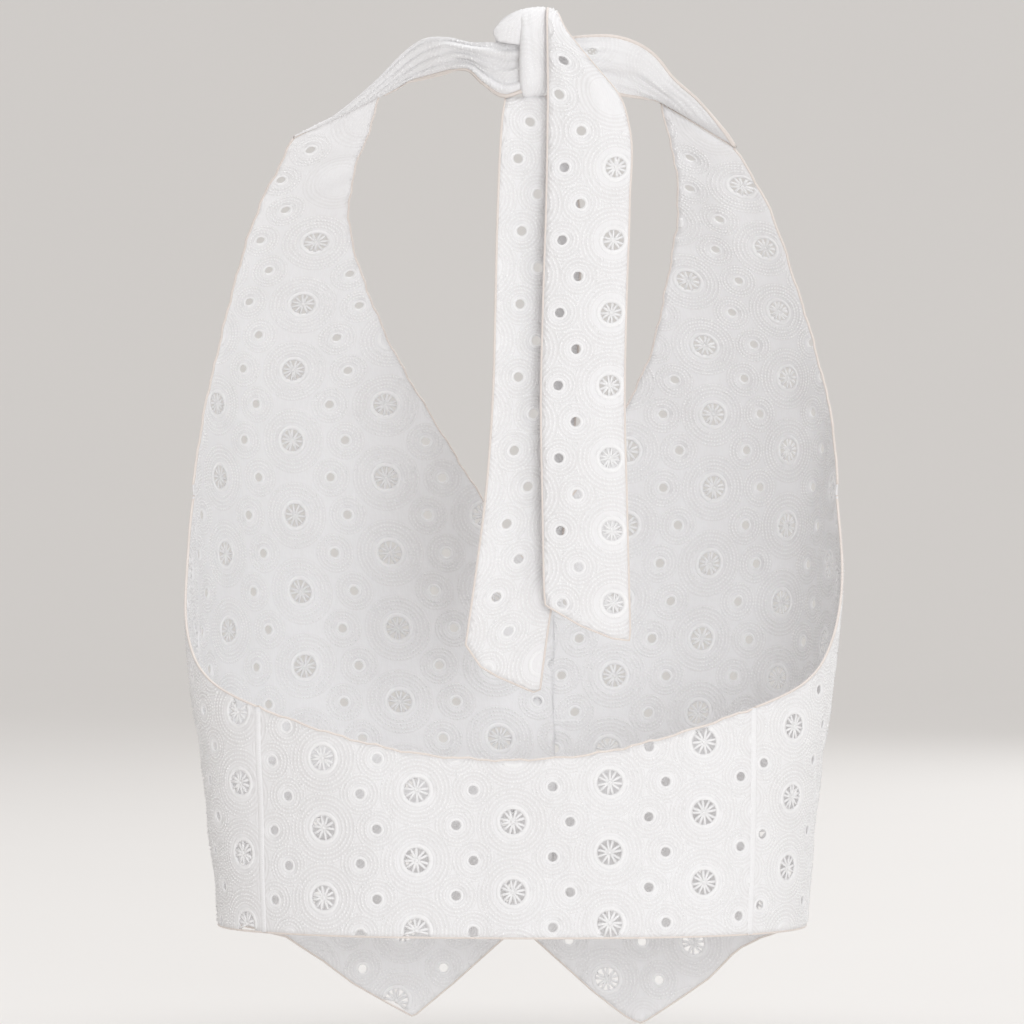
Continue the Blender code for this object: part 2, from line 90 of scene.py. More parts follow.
# height, half width, front depth, back depth, middle, squareness
FORM = np.array(
    (
        (-0.270, 0.1480, 0.098, 0.090, 0.000, 2.40),
        (-0.210, 0.1465, 0.094, 0.087, 0.000, 2.40),
        (-0.160, 0.1510, 0.095, 0.087, 0.000, 2.40),
        (-0.120, 0.1560, 0.102, 0.089, 0.000, 2.45),
        (-0.080, 0.1610, 0.115, 0.092, 0.000, 2.50),
        (-0.040, 0.1645, 0.124, 0.095, 0.000, 2.50),
        (0.000, 0.1650, 0.122, 0.096, 0.000, 2.50),
        (0.050, 0.1650, 0.110, 0.090, -0.002, 2.40),
        (0.100, 0.1630, 0.090, 0.076, -0.012, 2.30),
        (0.150, 0.1580, 0.068, 0.060, -0.033, 2.25),
        (0.200, 0.1520, 0.050, 0.046, -0.062, 2.20),
        (0.250, 0.1480, 0.040, 0.040, -0.078, 2.20),
    )
)
PHI = np.linspace(0.0, math.pi, 241)
FORM_STEP = 0.001
LEVELS = np.arange(-0.275, 0.250, FORM_STEP)
ARCS = np.arange(0.0, 0.480, FORM_STEP)


def through(x, table, column):
    """Smooth curve through one column of a table, read at x."""
    xs = table[:, 0]
    ys = table[:, column]
    x = np.clip(np.asarray(x, float), xs[0], xs[-1])
    slope = np.gradient(ys, xs)
    i = np.clip(np.searchsorted(xs, x) - 1, 0, len(xs) - 2)
    h = xs[i + 1] - xs[i]
    t = (x - xs[i]) / h
    rise = (1 + 2 * t) * (1 - t) ** 2 * ys[i] + t * t * (3 - 2 * t) * ys[i + 1]
    return rise + t * (1 - t) * h * ((1 - t) * slope[i] - t * slope[i + 1])


def section(height):
    """Half sections of the form, from centre front to centre back: x, y and arc."""
    wide, front, back, middle, square = (through(height, FORM, k)[:, None] for k in range(1, 6))
    deep = np.where(PHI < math.pi / 2, front, back)
    reach = ((np.sin(PHI) / wide) ** square + (np.abs(np.cos(PHI)) / deep) ** square) ** (-1 / square)
    x = reach * np.sin(PHI)
    y = middle + reach * np.cos(PHI)
    arc = np.cumsum(np.hypot(np.diff(x, axis=1), np.diff(y, axis=1)), axis=1)
    return x, y, np.hstack([np.zeros((len(arc), 1)), arc])


SECTION_X, SECTION_Y, SECTION_ARC = section(LEVELS)
GIRTH = SECTION_ARC[:, -1]
FORM_GRID = np.array(
    [
        np.column_stack([np.interp(ARCS, arc, x), np.interp(ARCS, arc, y), np.full(len(ARCS), level)])
        for x, y, arc, level in zip(SECTION_X, SECTION_Y, SECTION_ARC, LEVELS)
    ]
)


def half_girth(height):
    return np.interp(height, LEVELS, GIRTH)


def on_form(arc, height):
    """Points of the form at arcs from the centre front, positive towards +X."""
    row = np.clip((height - LEVELS[0]) / FORM_STEP, 0, len(LEVELS) - 1.001)
    column = np.clip(np.abs(arc) / FORM_STEP, 0, len(ARCS) - 1.001)
    i = row.astype(int)
    j = column.astype(int)
    u = (row - i)[:, None]
    v = (column - j)[:, None]
    lower = FORM_GRID[i, j] * (1 - v) + FORM_GRID[i, j + 1] * v
    upper = FORM_GRID[i + 1, j] * (1 - v) + FORM_GRID[i + 1, j + 1] * v
    points = lower * (1 - u) + upper * u
    points[:, 0] *= np.sign(arc)
    return points


def outward(arc, height):
    """Normals of the form, pointing away from the body."""
    step = 0.002
    across = on_form(arc + step, height) - on_form(arc - step, height)
    up = on_form(arc, height + step) - on_form(arc, height - step)
    normal = np.cross(up, across)
    return normal / np.linalg.norm(normal, axis=1)[:, None]


print("form grid:", FORM_GRID.shape, "hem girth", round(2000 * half_girth(-0.2065)), "mm")

# %% [markdown]
# ## Creases
# Worn cotton is never as smooth as the form. Its main creases are placed one by one: each is a soft ridge or
# trough with its own place, direction, length and depth, so no two are alike. They are read by arc and
# height on the form, which both pieces at a seam share, so a crease crosses a seam without a step.

# %% Crease table
# arc from the centre front, height, turn from upright in degrees, half length, half width, rise
CREASES = (
    (-0.118, 0.135, 24.0, 0.055, 0.0080, 0.0014),
    (-0.098, 0.120, 18.0, 0.060, 0.0090, -0.0012),
    (-0.150, 0.075, 14.0, 0.050, 0.0110, 0.0012),
    (-0.075, 0.055, 28.0, 0.060, 0.0120, 0.0010),
    (-0.176, -0.020, -8.0, 0.060, 0.0140, -0.0013),
    (-0.130, -0.085, 6.0, 0.070, 0.0180, 0.0013),
    (-0.060, -0.130, -12.0, 0.060, 0.0160, -0.0012),
    (-0.190, -0.130, 80.0, 0.040, 0.0090, -0.0010),
    (0.112, 0.140, -22.0, 0.055, 0.0080, -0.0013),
    (0.128, 0.110, -18.0, 0.060, 0.0100, 0.0013),
    (0.085, 0.070, -26.0, 0.055, 0.0110, -0.0010),
    (0.168, 0.010, 10.0, 0.060, 0.0140, 0.0013),
    (0.110, -0.075, -4.0, 0.075, 0.0190, -0.0014),
    (0.058, -0.125, 9.0, 0.060, 0.0150, 0.0011),
    (0.190, -0.115, -74.0, 0.042, 0.0100, -0.0010),
    (0.250, -0.135, 62.0, 0.040, 0.0100, 0.0011),
    (-0.255, -0.140, -58.0, 0.040, 0.0110, 0.0011),
    (0.330, -0.150, 4.0, 0.045, 0.0160, -0.0012),
    (-0.335, -0.160, -6.0, 0.040, 0.0150, 0.0012),
    (0.395, -0.150, -10.0, 0.045, 0.0180, 0.0010),
    (-0.385, -0.155, 12.0, 0.045, 0.0170, -0.0011),
    (-0.091, 0.163, 62.0, 0.015, 0.0028, 0.0006),
    (-0.090, 0.170, 69.0, 0.017, 0.0026, -0.0006),
    (-0.088, 0.176, 76.0, 0.017, 0.0028, 0.0006),
    (-0.086, 0.183, 82.0, 0.015, 0.0026, -0.0005),
    (-0.105, 0.190, 66.0, 0.024, 0.0050, 0.0007),
    (0.098, 0.172, -70.0, 0.018, 0.0032, 0.0006),
    (0.101, 0.181, -78.0, 0.020, 0.0034, -0.0006),
    (-0.100, -0.165, 34.0, 0.050, 0.0120, 0.0011),
    (0.120, -0.170, -30.0, 0.055, 0.0130, -0.0012),
)


def creased(arc, height):
    """How far the worn cloth stands off the form."""
    lift = 0.0004 * np.sin(arc * 61.0 + height * 23.0 + 0.7) + 0.0003 * np.sin(height * 83.0 - arc * 37.0)
    for middle, level, turn, long, wide, rise in CREASES:
        c = math.cos(math.radians(turn))
        s = math.sin(math.radians(turn))
        along = (height - level) * c + (arc - middle) * s
        off = (arc - middle) * c - (height - level) * s
        bend = off - 0.12 * along * along / long
        lift = lift + rise * np.exp(-((along / long) ** 2) - (bend / wide) ** 2)
    return lift


print("creases:", len(CREASES))

# %% [markdown]
# ## Patterns
# Each piece has a flat pattern, in metres across and along the grain, and a rule that lays the pattern on
# the form. The rule is a function, so the cloth, its stitches and its edges can all be made flat, where a
# circle is a circle, and then be laid on together. The ties have no form under them: their rule follows the
# two edges of a folded strip from station to station, and ripples the cloth between them.

# %% Shape tables
GAP = 0.0003
RIGHT_EDGE = -0.0030  # the right front ends here, over the left one
LEFT_EDGE = 0.0155
LAP_LIFT = 0.00058  # of each layer from the form, where the fronts lie over each other
BACK_SEAM = 0.1250
FRONT_SEAM = ((-0.270, 0.181), (-0.210, 0.185), (-0.095, 0.205), (0.030, 0.205))
BAND_HEM = -0.2065
SEAM_HEIGHTS = np.linspace(BAND_HEM, 0.0080, 24)
RIDGE = {-1: (0.2070, 0.1870), 1: (0.2030, 0.1820)}
ROOT_LENGTH = 0.0100
# How far the columns of eyelets lean to the centre on the fronts: height, lean
LEAN = np.array(
    (
        (-0.270, 0.010),
        (-0.120, 0.010),
        (-0.100, 0.008),
        (-0.060, 0.006),
        (-0.025, 0.002),
        (0.030, 0.000),
        (0.060, 0.001),
        (0.090, 0.006),
        (0.115, 0.013),
        (0.140, 0.021),
        (0.165, 0.033),
        (0.210, 0.060),
    )
)
# Neck edge of the fronts: height, arc of the left front, arc of the right front
NECK = np.array(
    (
        (-0.048, -LEFT_EDGE, -0.0095),
        (-0.031, -0.0047, 0.0013),
        (0.005, 0.0199, 0.0240),
        (0.043, 0.0430, 0.0480),
        (0.084, 0.0660, 0.0690),
        (0.107, 0.0753, 0.0750),
        (0.128, 0.0820, 0.0795),
        (0.151, 0.0850, 0.0834),
        (0.165, 0.0826, 0.0835),
        (0.180, 0.0770, 0.0815),
        (0.196, 0.0690, 0.0770),
        (0.210, 0.0655, 0.0755),
    )
)
# Armhole edge: height, arc from the centre front
ARMHOLE = np.array(
    (
        (0.008, 0.209),
        (0.014, 0.206),
        (0.034, 0.195),
        (0.055, 0.1845),
        (0.075, 0.172),
        (0.095, 0.161),
        (0.115, 0.151),
        (0.135, 0.1415),
        (0.155, 0.131),
        (0.174, 0.1185),
        (0.188, 0.1090),
    )
)
# Top edge of the side panels and the band: arc from the centre back, height
BACK_TOP = np.array(
    (
        (0.000, -0.1205),
        (0.040, -0.1175),
        (0.080, -0.1090),
        (0.114, -0.0990),
        (0.125, -0.0955),
        (0.140, -0.0905),
        (0.154, -0.0850),
        (0.170, -0.0760),
        (0.184, -0.0650),
        (0.198, -0.0530),
        (0.211, -0.0400),
        (0.226, -0.0230),
        (0.237, -0.0060),
        (0.246, 0.0090),
    )
)
# Hems of the left and right front: arc from the centre front, height
FRONT_HEM = {
    -1: np.array(
        (
            (0.0000, -0.2140),
            (0.0179, -0.2301),
            (0.0349, -0.2453),
            (0.0545, -0.2615),
            (0.0571, -0.2625),
            (0.0592, -0.2613),
            (0.0695, -0.2557),
            (0.0877, -0.2451),
            (0.1040, -0.2328),
            (0.1260, -0.2190),
            (0.1500, -0.2130),
        )
    ),
    1: np.array(
        (
            (0.0000, -0.2158),
            (0.0194, -0.2332),
            (0.0372, -0.2490),
            (0.0488, -0.2578),
            (0.0551, -0.2622),
            (0.0600, -0.2645),
            (0.0629, -0.2654),
            (0.0660, -0.2642),
            (0.0850, -0.2516),
            (0.1000, -0.2412),
            (0.1140, -0.2280),
            (0.1200, -0.2238),
            (0.1330, -0.2182),
            (0.1500, -0.2135),
        )
    ),
}

# %% Rules that lay a pattern on the form
LADDER = np.linspace(-0.274, 0.245, 105)
RISE = on_form(np.full(105, 0.100), LADDER)
RISE = np.concatenate([[0.0], np.cumsum(np.linalg.norm(np.diff(RISE, axis=0), axis=1))])
RISE -= np.interp(0.0, LADDER, RISE)


def front_flat(arc, height):
    """Form to pattern, on a front."""
    return np.column_stack([arc + through(height, LEAN, 1), np.interp(height, LADDER, RISE)])


def front_worn(side, layer):
    """Pattern to form, on a front: side is 1 for the right one, layer is out or in at the button edge."""

    def wrap(flat):
        height = np.interp(flat[:, 1], RISE, LADDER)
        arc = flat[:, 0] - through(height, LEAN, 1)
        lap = np.clip((0.050 - arc) / 0.030, 0.0, 1.0)
        lap = lap * lap * (3 - 2 * lap)
        lift = layer * lap * LAP_LIFT + creased(side * arc, height) * (1 - lap)
        return on_form(side * arc, height) + outward(side * arc, height) * lift[:, None]

    return wrap


def back_worn(flat):
    """Pattern to form, on the band and the side panels: across is the arc from the centre back."""
    arc = half_girth(flat[:, 1]) - np.abs(flat[:, 0])
    arc = np.where(flat[:, 0] < 0, -arc, arc)
    lift = creased(arc, flat[:, 1]) * np.clip(np.abs(flat[:, 0]) / 0.012, 0.0, 1.0)
    return on_form(arc, flat[:, 1]) + outward(arc, flat[:, 1]) * lift[:, None]


def ridge_root(side, neck_column):
    """The start of a tie, where it goes on from the top edge of its front."""
    high, low = RIDGE[side]
    neck = through(high, NECK, neck_column)
    arm = through(low, ARMHOLE, 1)

    def root(share, along):
        arc = (neck + arm) / 2 + (arm - neck) / 2 * share
        height = (high + low) / 2 - (high - low) / 2 * share + 0.0004
        return on_form(side * (arc - 0.40 * along), height + 0.40 * along)

    return root


def strip_worn(stations, half, ripple, root=None):
    """Pattern to a folded strip. Without a half width it lies flat at the width of its stations."""
    table = np.array(stations) / 1000.0
    middle = (table[:, 0:3] + table[:, 3:6]) / 2
    length = np.concatenate([[0.0], np.cumsum(np.linalg.norm(np.diff(middle, axis=0), axis=1))])
    rows = np.column_stack([length, table])

    def edge(along, first):
        return np.column_stack([through(along, rows, first + k) for k in range(3)])

    def centre(along):
        return (edge(along, 4) + edge(along, 1)) / 2

    def half_arm(along):
        return (edge(along, 4) - edge(along, 1)) / 2

    def width(along):
        return np.linalg.norm(half_arm(along), axis=1)

    def wrap(flat):
        along = flat[:, 1]
        arm = half_arm(along)
        share = flat[:, 0] / (half or width(along))
        near = np.clip(along, 0.001, length[-1] - 0.001)
        run = centre(near + 0.001) - centre(near - 0.001)
        normal = np.cross(arm, run)
        normal /= np.linalg.norm(normal, axis=1)[:, None]
        wave = through(along, rows, 7) * ripple(share, along)
        points = centre(along) + arm * share[:, None] + normal * wave[:, None]
        if root:
            blend = np.clip(along / ROOT_LENGTH, 0.0, 1.0)[:, None]
            blend = blend * blend * (3 - 2 * blend)
            points = root(share, along) * (1 - blend) + points * blend
        return points

    return wrap, length[-1], width


# %% [markdown]
# ## Outlines
# An outline is cut from the tables above: hem, side seam, armhole, shoulder ridge, neck. The free edges are
# kept apart from the seams, because a free edge is turned and shows as a narrow roll, and a seam doesn't.

# %% Outlines of the body pieces
def uneven(place, seed):
    """How far a free edge strays from its line, as sewn edges do."""
    return 0.00040 * np.sin(290.0 * place + seed) + 0.00028 * np.sin(707.0 * place + 2.3 * seed)


def walk(corners, step, closed=True):
    """A line with points no further apart than the step."""
    corners = np.asarray(corners, float)
    ends = np.roll(corners, -1, axis=0) if closed else corners[1:]
    out = []
    for start, end in zip(corners, ends):
        count = max(1, math.ceil(np.linalg.norm(end - start) / step))
        out += [start + (end - start) * k / count for k in range(count)]
    if not closed:
        out.append(corners[-1])
    return np.array(out)


def front_outline(side, neck_column, edge_arc):
    """Outline of a front on its pattern, and its free edges."""
    neck = NECK[NECK[:, neck_column] > edge_arc + 0.0010]
    cross = np.interp(edge_arc, NECK[:, neck_column], NECK[:, 0])
    hem = FRONT_HEM[side]
    slope = (hem[1, 1] - hem[0, 1]) / (hem[1, 0] - hem[0, 0])
    foot = [(edge_arc, hem[0, 1] + slope * edge_arc)]
    seam = np.column_stack([np.interp(SEAM_HEIGHTS, *zip(*FRONT_SEAM)), SEAM_HEIGHTS])
    arm_heights = np.linspace(0.014, RIDGE[side][1], 40)
    arm = np.column_stack([through(arm_heights, ARMHOLE, 1) + uneven(arm_heights, side), arm_heights])
    neck_heights = np.linspace(RIDGE[side][0], neck[0, 0], 60)
    neck_line = through(neck_heights, NECK, neck_column) + uneven(neck_heights, 2.0 + side)
    neck_line = np.column_stack([neck_line, neck_heights])
    whole = np.vstack([foot, hem[1:], seam, arm, neck_line, [(edge_arc, cross)]])
    neck_edge = np.vstack([neck_line, [(edge_arc, cross)]])
    hem_edge = np.vstack([foot, hem[1:], seam[:1]])
    return (
        front_flat(whole[:, 0], whole[:, 1]),
        [front_flat(part[:, 0], part[:, 1]) for part in (arm, neck_edge, hem_edge)],
    )


def band_outline():
    arcs = np.linspace(-BACK_SEAM + GAP / 2, BACK_SEAM - GAP / 2, 61)
    top = np.column_stack([arcs, through(np.abs(arcs), BACK_TOP, 1) + uneven(arcs, 0.6)])
    hem = np.array([(arcs[-1], BAND_HEM), (arcs[0], BAND_HEM)])
    return np.vstack([hem, top]), [top, hem]


def side_outline(side):
    """Outline of a side panel; across is the arc from the centre back."""
    seam = half_girth(SEAM_HEIGHTS) - np.interp(SEAM_HEIGHTS, *zip(*FRONT_SEAM)) - GAP
    arcs = np.linspace(seam[-1], BACK_SEAM + GAP / 2, 41)
    top = np.column_stack([arcs, through(arcs, BACK_TOP, 1)]) * (side, 1.0)
    line = np.column_stack([seam, SEAM_HEIGHTS]) * (side, 1.0)
    foot = np.array([(BACK_SEAM + GAP / 2, BAND_HEM)]) * (side, 1.0)
    return np.vstack([line, top[1:], foot]), [top, np.vstack([foot, line[:1]])]


def room(points, outline):
    """Distance of points from an outline, negative outside it."""
    out = []
    run = np.roll(outline, -1, axis=0) - outline
    for block in np.array_split(points, max(1, len(points) // 4000)):
        off = block[:, None] - outline[None]
        t = np.clip((off * run).sum(-1) / (run * run).sum(-1), 0.0, 1.0)
        near = np.linalg.norm(off - run * t[..., None], axis=-1).min(axis=1)
        above = off[..., 1] < 0
        below = np.roll(above, -1, axis=1)
        side = run[:, 0] * off[..., 1] - run[:, 1] * off[..., 0]
        crossed = (above != below) & ((side > 0) == (run[:, 1] < 0))
        out.append(np.where(crossed.sum(axis=1) % 2 == 1, near, -near))
    return np.concatenate(out)


# %% [markdown]
# ## The eyelet repeat
# The cloth is cut from a finished broderie: columns of open wheels, each column shifted by half a step
# against the next, and a small eyelet in every gap, swung a little away from the nearer wheel. A piece takes
# whatever part of the repeat falls on it, so wheels at its edges are cut through, as they are in the shop.

# %% Repeat of each piece
# first column, column gap, first row of that column, row gap, rise from column to column
REPEAT = {
    "front_left": (0.0210, 0.0510, -0.0016, 0.0400, 0.0),
    "front_right": (0.0085, 0.0470, 0.0130, 0.0400, 0.0),
    "back_band": (0.0045, 0.0470, -0.1500, 0.0342, 0.0020),
    "side_left": (-0.1375, 0.0470, -0.1330, 0.0350, 0.0),
    "side_right": (0.1500, 0.0470, -0.1400, 0.0350, 0.0),
    "tail_right": (0.0128, 0.0412, 0.0963, 0.0351, 0.0),
    "tail_left": (0.0195, 0.0470, 0.0305, 0.0355, 0.0),
    "strap_left": (0.0100, 0.0470, 0.0200, 0.0400, 0.0),
    "strap_right": (0.0100, 0.0470, 0.0100, 0.0400, 0.0),
    "knot_wrap": (-0.0060, 0.0470, 0.0250, 0.0400, 0.0),
}
# Eyelets that are left out where a piece is gathered into the tie or the knot, or would break its hem
WITHOUT = {
    "front_left": ((0.1230, 0.1984), (0.1230, 0.2384)),
    "front_right": ((0.1495, 0.2330), (0.0748, -0.2670), (0.1302, -0.2270)),
    "tail_right": ((0.0128, 0.0261), (0.0128, 0.0612)),
}
# A wheel near the hem's point, and how far it lies from its place in the repeat
STRAY = {"front_left": ((0.0720, -0.2616, 0.0032, 0.0030),)}
WHEEL_RADIUS = 0.0064
DOT_SWING = 0.0042
WHEEL_RINGS = (0.0106, 0.0127, 0.0147, 0.0168)
DOT_RINGS = (0.0058, 0.0077, 0.0095)
PLAIN_EDGE = 0.0016  # no stitch comes nearer to an edge


def lattice(repeat, outline, without=(), stray=()):
    """Every eyelet whose rings reach the piece: centre, and 1 for a wheel or 0 for a small one."""
    column, column_gap, row, row_gap, rise = repeat

    def left_out(x, y):
        return any(math.hypot(x - a, y - b) < WHEEL_RADIUS for a, b in without)

    first = np.floor((outline.min(axis=0) - (column, row)) / (column_gap, row_gap / 2)).astype(int) - 2
    last = np.ceil((outline.max(axis=0) - (column, row)) / (column_gap, row_gap / 2)).astype(int) + 3
    found = []
    for i in range(first[0], last[0]):
        for j in range(first[1], last[1]):
            wheel_here = (i + j) % 2 == 0
            x = column + i * column_gap
            y = row + j * row_gap / 2 + i * rise
            if wheel_here and not left_out(x, y):
                off = [spot[2:] for spot in stray if math.hypot(x - spot[0], y - spot[1]) < WHEEL_RADIUS]
                across, up = off[0] if off else (0.0, 0.0)
                found.append((x + across, y + up, 1))
            swing = DOT_SWING if wheel_here else -DOT_SWING
            if not left_out(x + column_gap / 2 + swing, y):
                found.append((x + column_gap / 2 + swing, y, 0))
    found = np.array(found)
    reach = np.where(found[:, 2] == 1, WHEEL_RINGS[-1], DOT_RINGS[-1])
    return found[room(found[:, :2], outline) > -reach]


# %% [markdown]
# ## Shader groups
# Two effects are shared by several finishes, so each is a node group. The first is the plain weave: warp
# and weft pass over and under each other, which a product of two sines gives as a small raised chequer. The
# second is the lie of embroidery thread, fine ribs across a stitch. Both read the flat pattern's own
# coordinates, kept as a UV map in metres, so the threads follow the grain of each piece wherever it hangs.

# %% Weave and thread groups
def add_node(tree, kind, values=(), **settings):
    """A node with its settings. Its inputs, by name or number, take a number or a link."""
    node = tree.nodes.new(kind)
    for name, value in settings.items():
        setattr(node, name, value)
    for label, value in dict(values).items():
        if isinstance(value, bpy.types.NodeSocket):
            tree.links.new(value, node.inputs[label])
        elif value is not None:
            node.inputs[label].default_value = value
    return node


def new_group(name, family, inputs, outputs):
    """A node group whose sockets are given by label and kind."""
    group = bpy.data.node_groups.new(name, family + "NodeTree")
    for way, sockets in (("INPUT", inputs), ("OUTPUT", outputs)):
        for label, kind in sockets.items():
            group.interface.new_socket(name=label, in_out=way, socket_type="NodeSocket" + kind)
    return group, group.nodes.new("NodeGroupInput").outputs, group.nodes.new("NodeGroupOutput").inputs


def math_node(tree, operation, first, second=None, third=0.5):
    return add_node(tree, "ShaderNodeMath", {0: first, 1: second, 2: third}, operation=operation).outputs[0]


def vector_node(tree, operation, *values):
    return add_node(tree, "ShaderNodeVectorMath", enumerate(values), operation=operation).outputs[0]


def noise_node(tree, vector, scale, detail):
    values = {"Vector": vector, "Scale": scale, "Detail": detail}
    return add_node(tree, "ShaderNodeTexNoise", values).outputs["Fac"]


WEAVE_THREADS = 2300.0  # half waves to the metre
REPEAT_LABELS = ("Column", "Column Gap", "Row", "Row Gap", "Rise")
WHEEL_PLAIN = 0.0096  # no worked ring inside this distance from a wheel's middle
DOT_PLAIN = 0.0049


def weave_group():
    outputs = {"Height": "Float", "Slub": "Float"}
    group, given, result = new_group("plain_weave", "Shader", {"Vector": "Vector"}, outputs)
    calc = partial(math_node, group)
    split = add_node(group, "ShaderNodeSeparateXYZ", {0: given["Vector"]})
    turns = []
    for axis in ("X", "Y"):
        wander = calc("MULTIPLY", noise_node(group, given["Vector"], 180.0, 1.0), 1.6)
        across = calc("ADD", calc("MULTIPLY", split.outputs[axis], WEAVE_THREADS), wander)
        turns.append(calc("SINE", calc("MULTIPLY", across, math.pi)))
    group.links.new(calc("MULTIPLY_ADD", calc("MULTIPLY", *turns), 0.5), result["Height"])
    stretch = add_node(group, "ShaderNodeMapping", {"Scale": (2200.0, 160.0, 1.0), "Vector": given["Vector"]})
    group.links.new(noise_node(group, stretch.outputs[0], 1.0, 2.0), result["Slub"])
    return group


def thread_group():
    inputs = {"Vector": "Vector", "Ribs": "Float"}
    group, given, result = new_group("thread_lie", "Shader", inputs, {"Height": "Float"})
    calc = partial(math_node, group)
    split = add_node(group, "ShaderNodeSeparateXYZ", {0: given["Vector"]})
    wander = calc("MULTIPLY", noise_node(group, given["Vector"], 400.0, 1.0), 2.0)
    wave = calc("SINE", calc("ADD", calc("MULTIPLY", split.outputs["X"], given["Ribs"]), wander))
    group.links.new(calc("MULTIPLY_ADD", wave, 0.5), result["Height"])
    return group


def relief_group():
    """Height of the worked rings: 1 on a row of stitches, 0 half way between two rows."""
    inputs = {"Vector": "Vector", **{label: "Float" for label in REPEAT_LABELS}}
    outputs = {"Height": "Float", "Worked": "Float"}
    group, given, result = new_group("ring_relief", "Shader", inputs, outputs)
    calc = partial(math_node, group)
    move = partial(vector_node, group)
    split = add_node(group, "ShaderNodeSeparateXYZ", {0: given["Vector"]}).outputs
    across = calc("SUBTRACT", split["X"], given["Column"])
    step = calc("ADD", calc("DIVIDE", across, given["Column Gap"]), 0.25)
    climb = calc("MULTIPLY", calc("FLOOR", step), given["Rise"])
    along = calc("SUBTRACT", calc("SUBTRACT", split["Y"], given["Row"]), climb)
    spot = add_node(group, "ShaderNodeCombineXYZ", {0: across, 1: along}).outputs[0]
    half_row = calc("MULTIPLY", given["Row Gap"], 0.5)
    half = add_node(group, "ShaderNodeCombineXYZ", {0: given["Column Gap"], 1: half_row, 2: 1.0}).outputs[0]
    back = add_node(group, "ShaderNodeVectorMath", {0: half, "Scale": -1.0}, operation="SCALE").outputs[0]
    # places in half cells, and the swing of a small eyelet
    wheels = ((0.0, 0.0, 0.0), (1.0, 1.0, 0.0))
    dots = ((0.5, 0.0, 1.0), (1.5, 1.0, 1.0), (1.5, 0.0, -1.0), (0.5, 1.0, -1.0))
    found = []
    for places, rings, plain in ((wheels, WHEEL_RINGS, WHEEL_PLAIN), (dots, DOT_RINGS, DOT_PLAIN)):
        least = None
        for a, b, swing in places:
            middle = move("MULTIPLY_ADD", half, (a, b, 0.0), (swing * DOT_SWING, 0.0, 0.0))
            off = move("WRAP", move("SUBTRACT", spot, middle), half, back)
            far = add_node(group, "ShaderNodeVectorMath", {0: off}, operation="LENGTH").outputs["Value"]
            least = far if least is None else calc("MINIMUM", least, far)
        pitch = (rings[-1] - rings[0]) / (len(rings) - 1)
        turn = calc("MULTIPLY", calc("SUBTRACT", least, rings[0]), 2 * math.pi / pitch)
        wave = calc("MULTIPLY_ADD", calc("COSINE", turn), 0.5)
        outer = calc("LESS_THAN", least, rings[-1] + pitch / 2)
        on = calc("MULTIPLY", calc("GREATER_THAN", least, plain), outer)
        power = calc("SUBTRACT", calc("MULTIPLY", least, least), rings[-1] ** 2)
        found.append((wave, on, power))
    nearer = calc("LESS_THAN", found[0][2], found[1][2])
    for k, label in ((0, "Height"), (1, "Worked")):
        pick = add_node(group, "ShaderNodeMix", {"Factor": nearer, 2: found[1][k], 3: found[0][k]})
        group.links.new(pick.outputs[0], result[label])
    return group


WEAVE = weave_group()
THREAD = thread_group()
RELIEF = relief_group()
print("groups:", WEAVE.name, THREAD.name, RELIEF.name)

# %% [markdown]
# ## Finishes
# The ground is a fine cotton lawn, matt with a faint bloom. The embroidery is mercerised thread: whiter and
# a little glossier than the ground; that and painted shade in the hollows between the rows of stitches are
# why the rings show at all on white cloth. The turned edges are painted darker and warmer than the ground, as
# painted shade along their folds. The buttons are shell-like plastic.

# %% Finish materials
LAWN = (0.892, 0.892, 0.906)
# deeper lawn: random tone of the cloth, and the painted shade in the hollows between rows of ring stitches
LAWN_DEEP_AND_SHADE = (0.765, 0.750, 0.752)
FLOSS = (0.955, 0.952, 0.956)
SATIN_WHITE = (0.925, 0.922, 0.930)
# painted shade of the turned edges: darker and warmer than the ground cloth
FOLD_SHADE = (0.800, 0.735, 0.690)
PEARL = (0.840, 0.825, 0.790)
PEARL_DEEP = (0.720, 0.700, 0.650)


def finish(name, rough, sheen, gloss=0.25, coat=0.0):
    made = bpy.data.materials.new(name)
    made.use_nodes = True
    shader = made.node_tree.nodes["Principled BSDF"].inputs
    shader["Roughness"].default_value = rough
    shader["Sheen Weight"].default_value = sheen
    shader["Sheen Roughness"].default_value = 0.5
    shader["Specular IOR Level"].default_value = gloss
    shader["Coat Weight"].default_value = coat
    return made, made.node_tree, shader


def mixed(tree, factor, first, second):
    """A colour between two, by a factor."""
    values = {"Factor": factor, 6: (*first, 1.0), 7: (*second, 1.0)}
    return add_node(tree, "ShaderNodeMix", values, data_type="RGBA").outputs[2]


def bump(tree, shader, height, distance, strength):
    values = {"Distance": distance, "Strength": strength, "Height": height}
    tree.links.new(add_node(tree, "ShaderNodeBump", values).outputs["Normal"], shader["Normal"])


def spread(tree, value, low, high):
    """The middle part of a noise, spread over a range."""
    values = {"Value": value, "From Min": 0.3, "From Max": 0.7, "To Min": low, "To Max": high}
    return add_node(tree, "ShaderNodeMapRange", values).outputs["Result"]


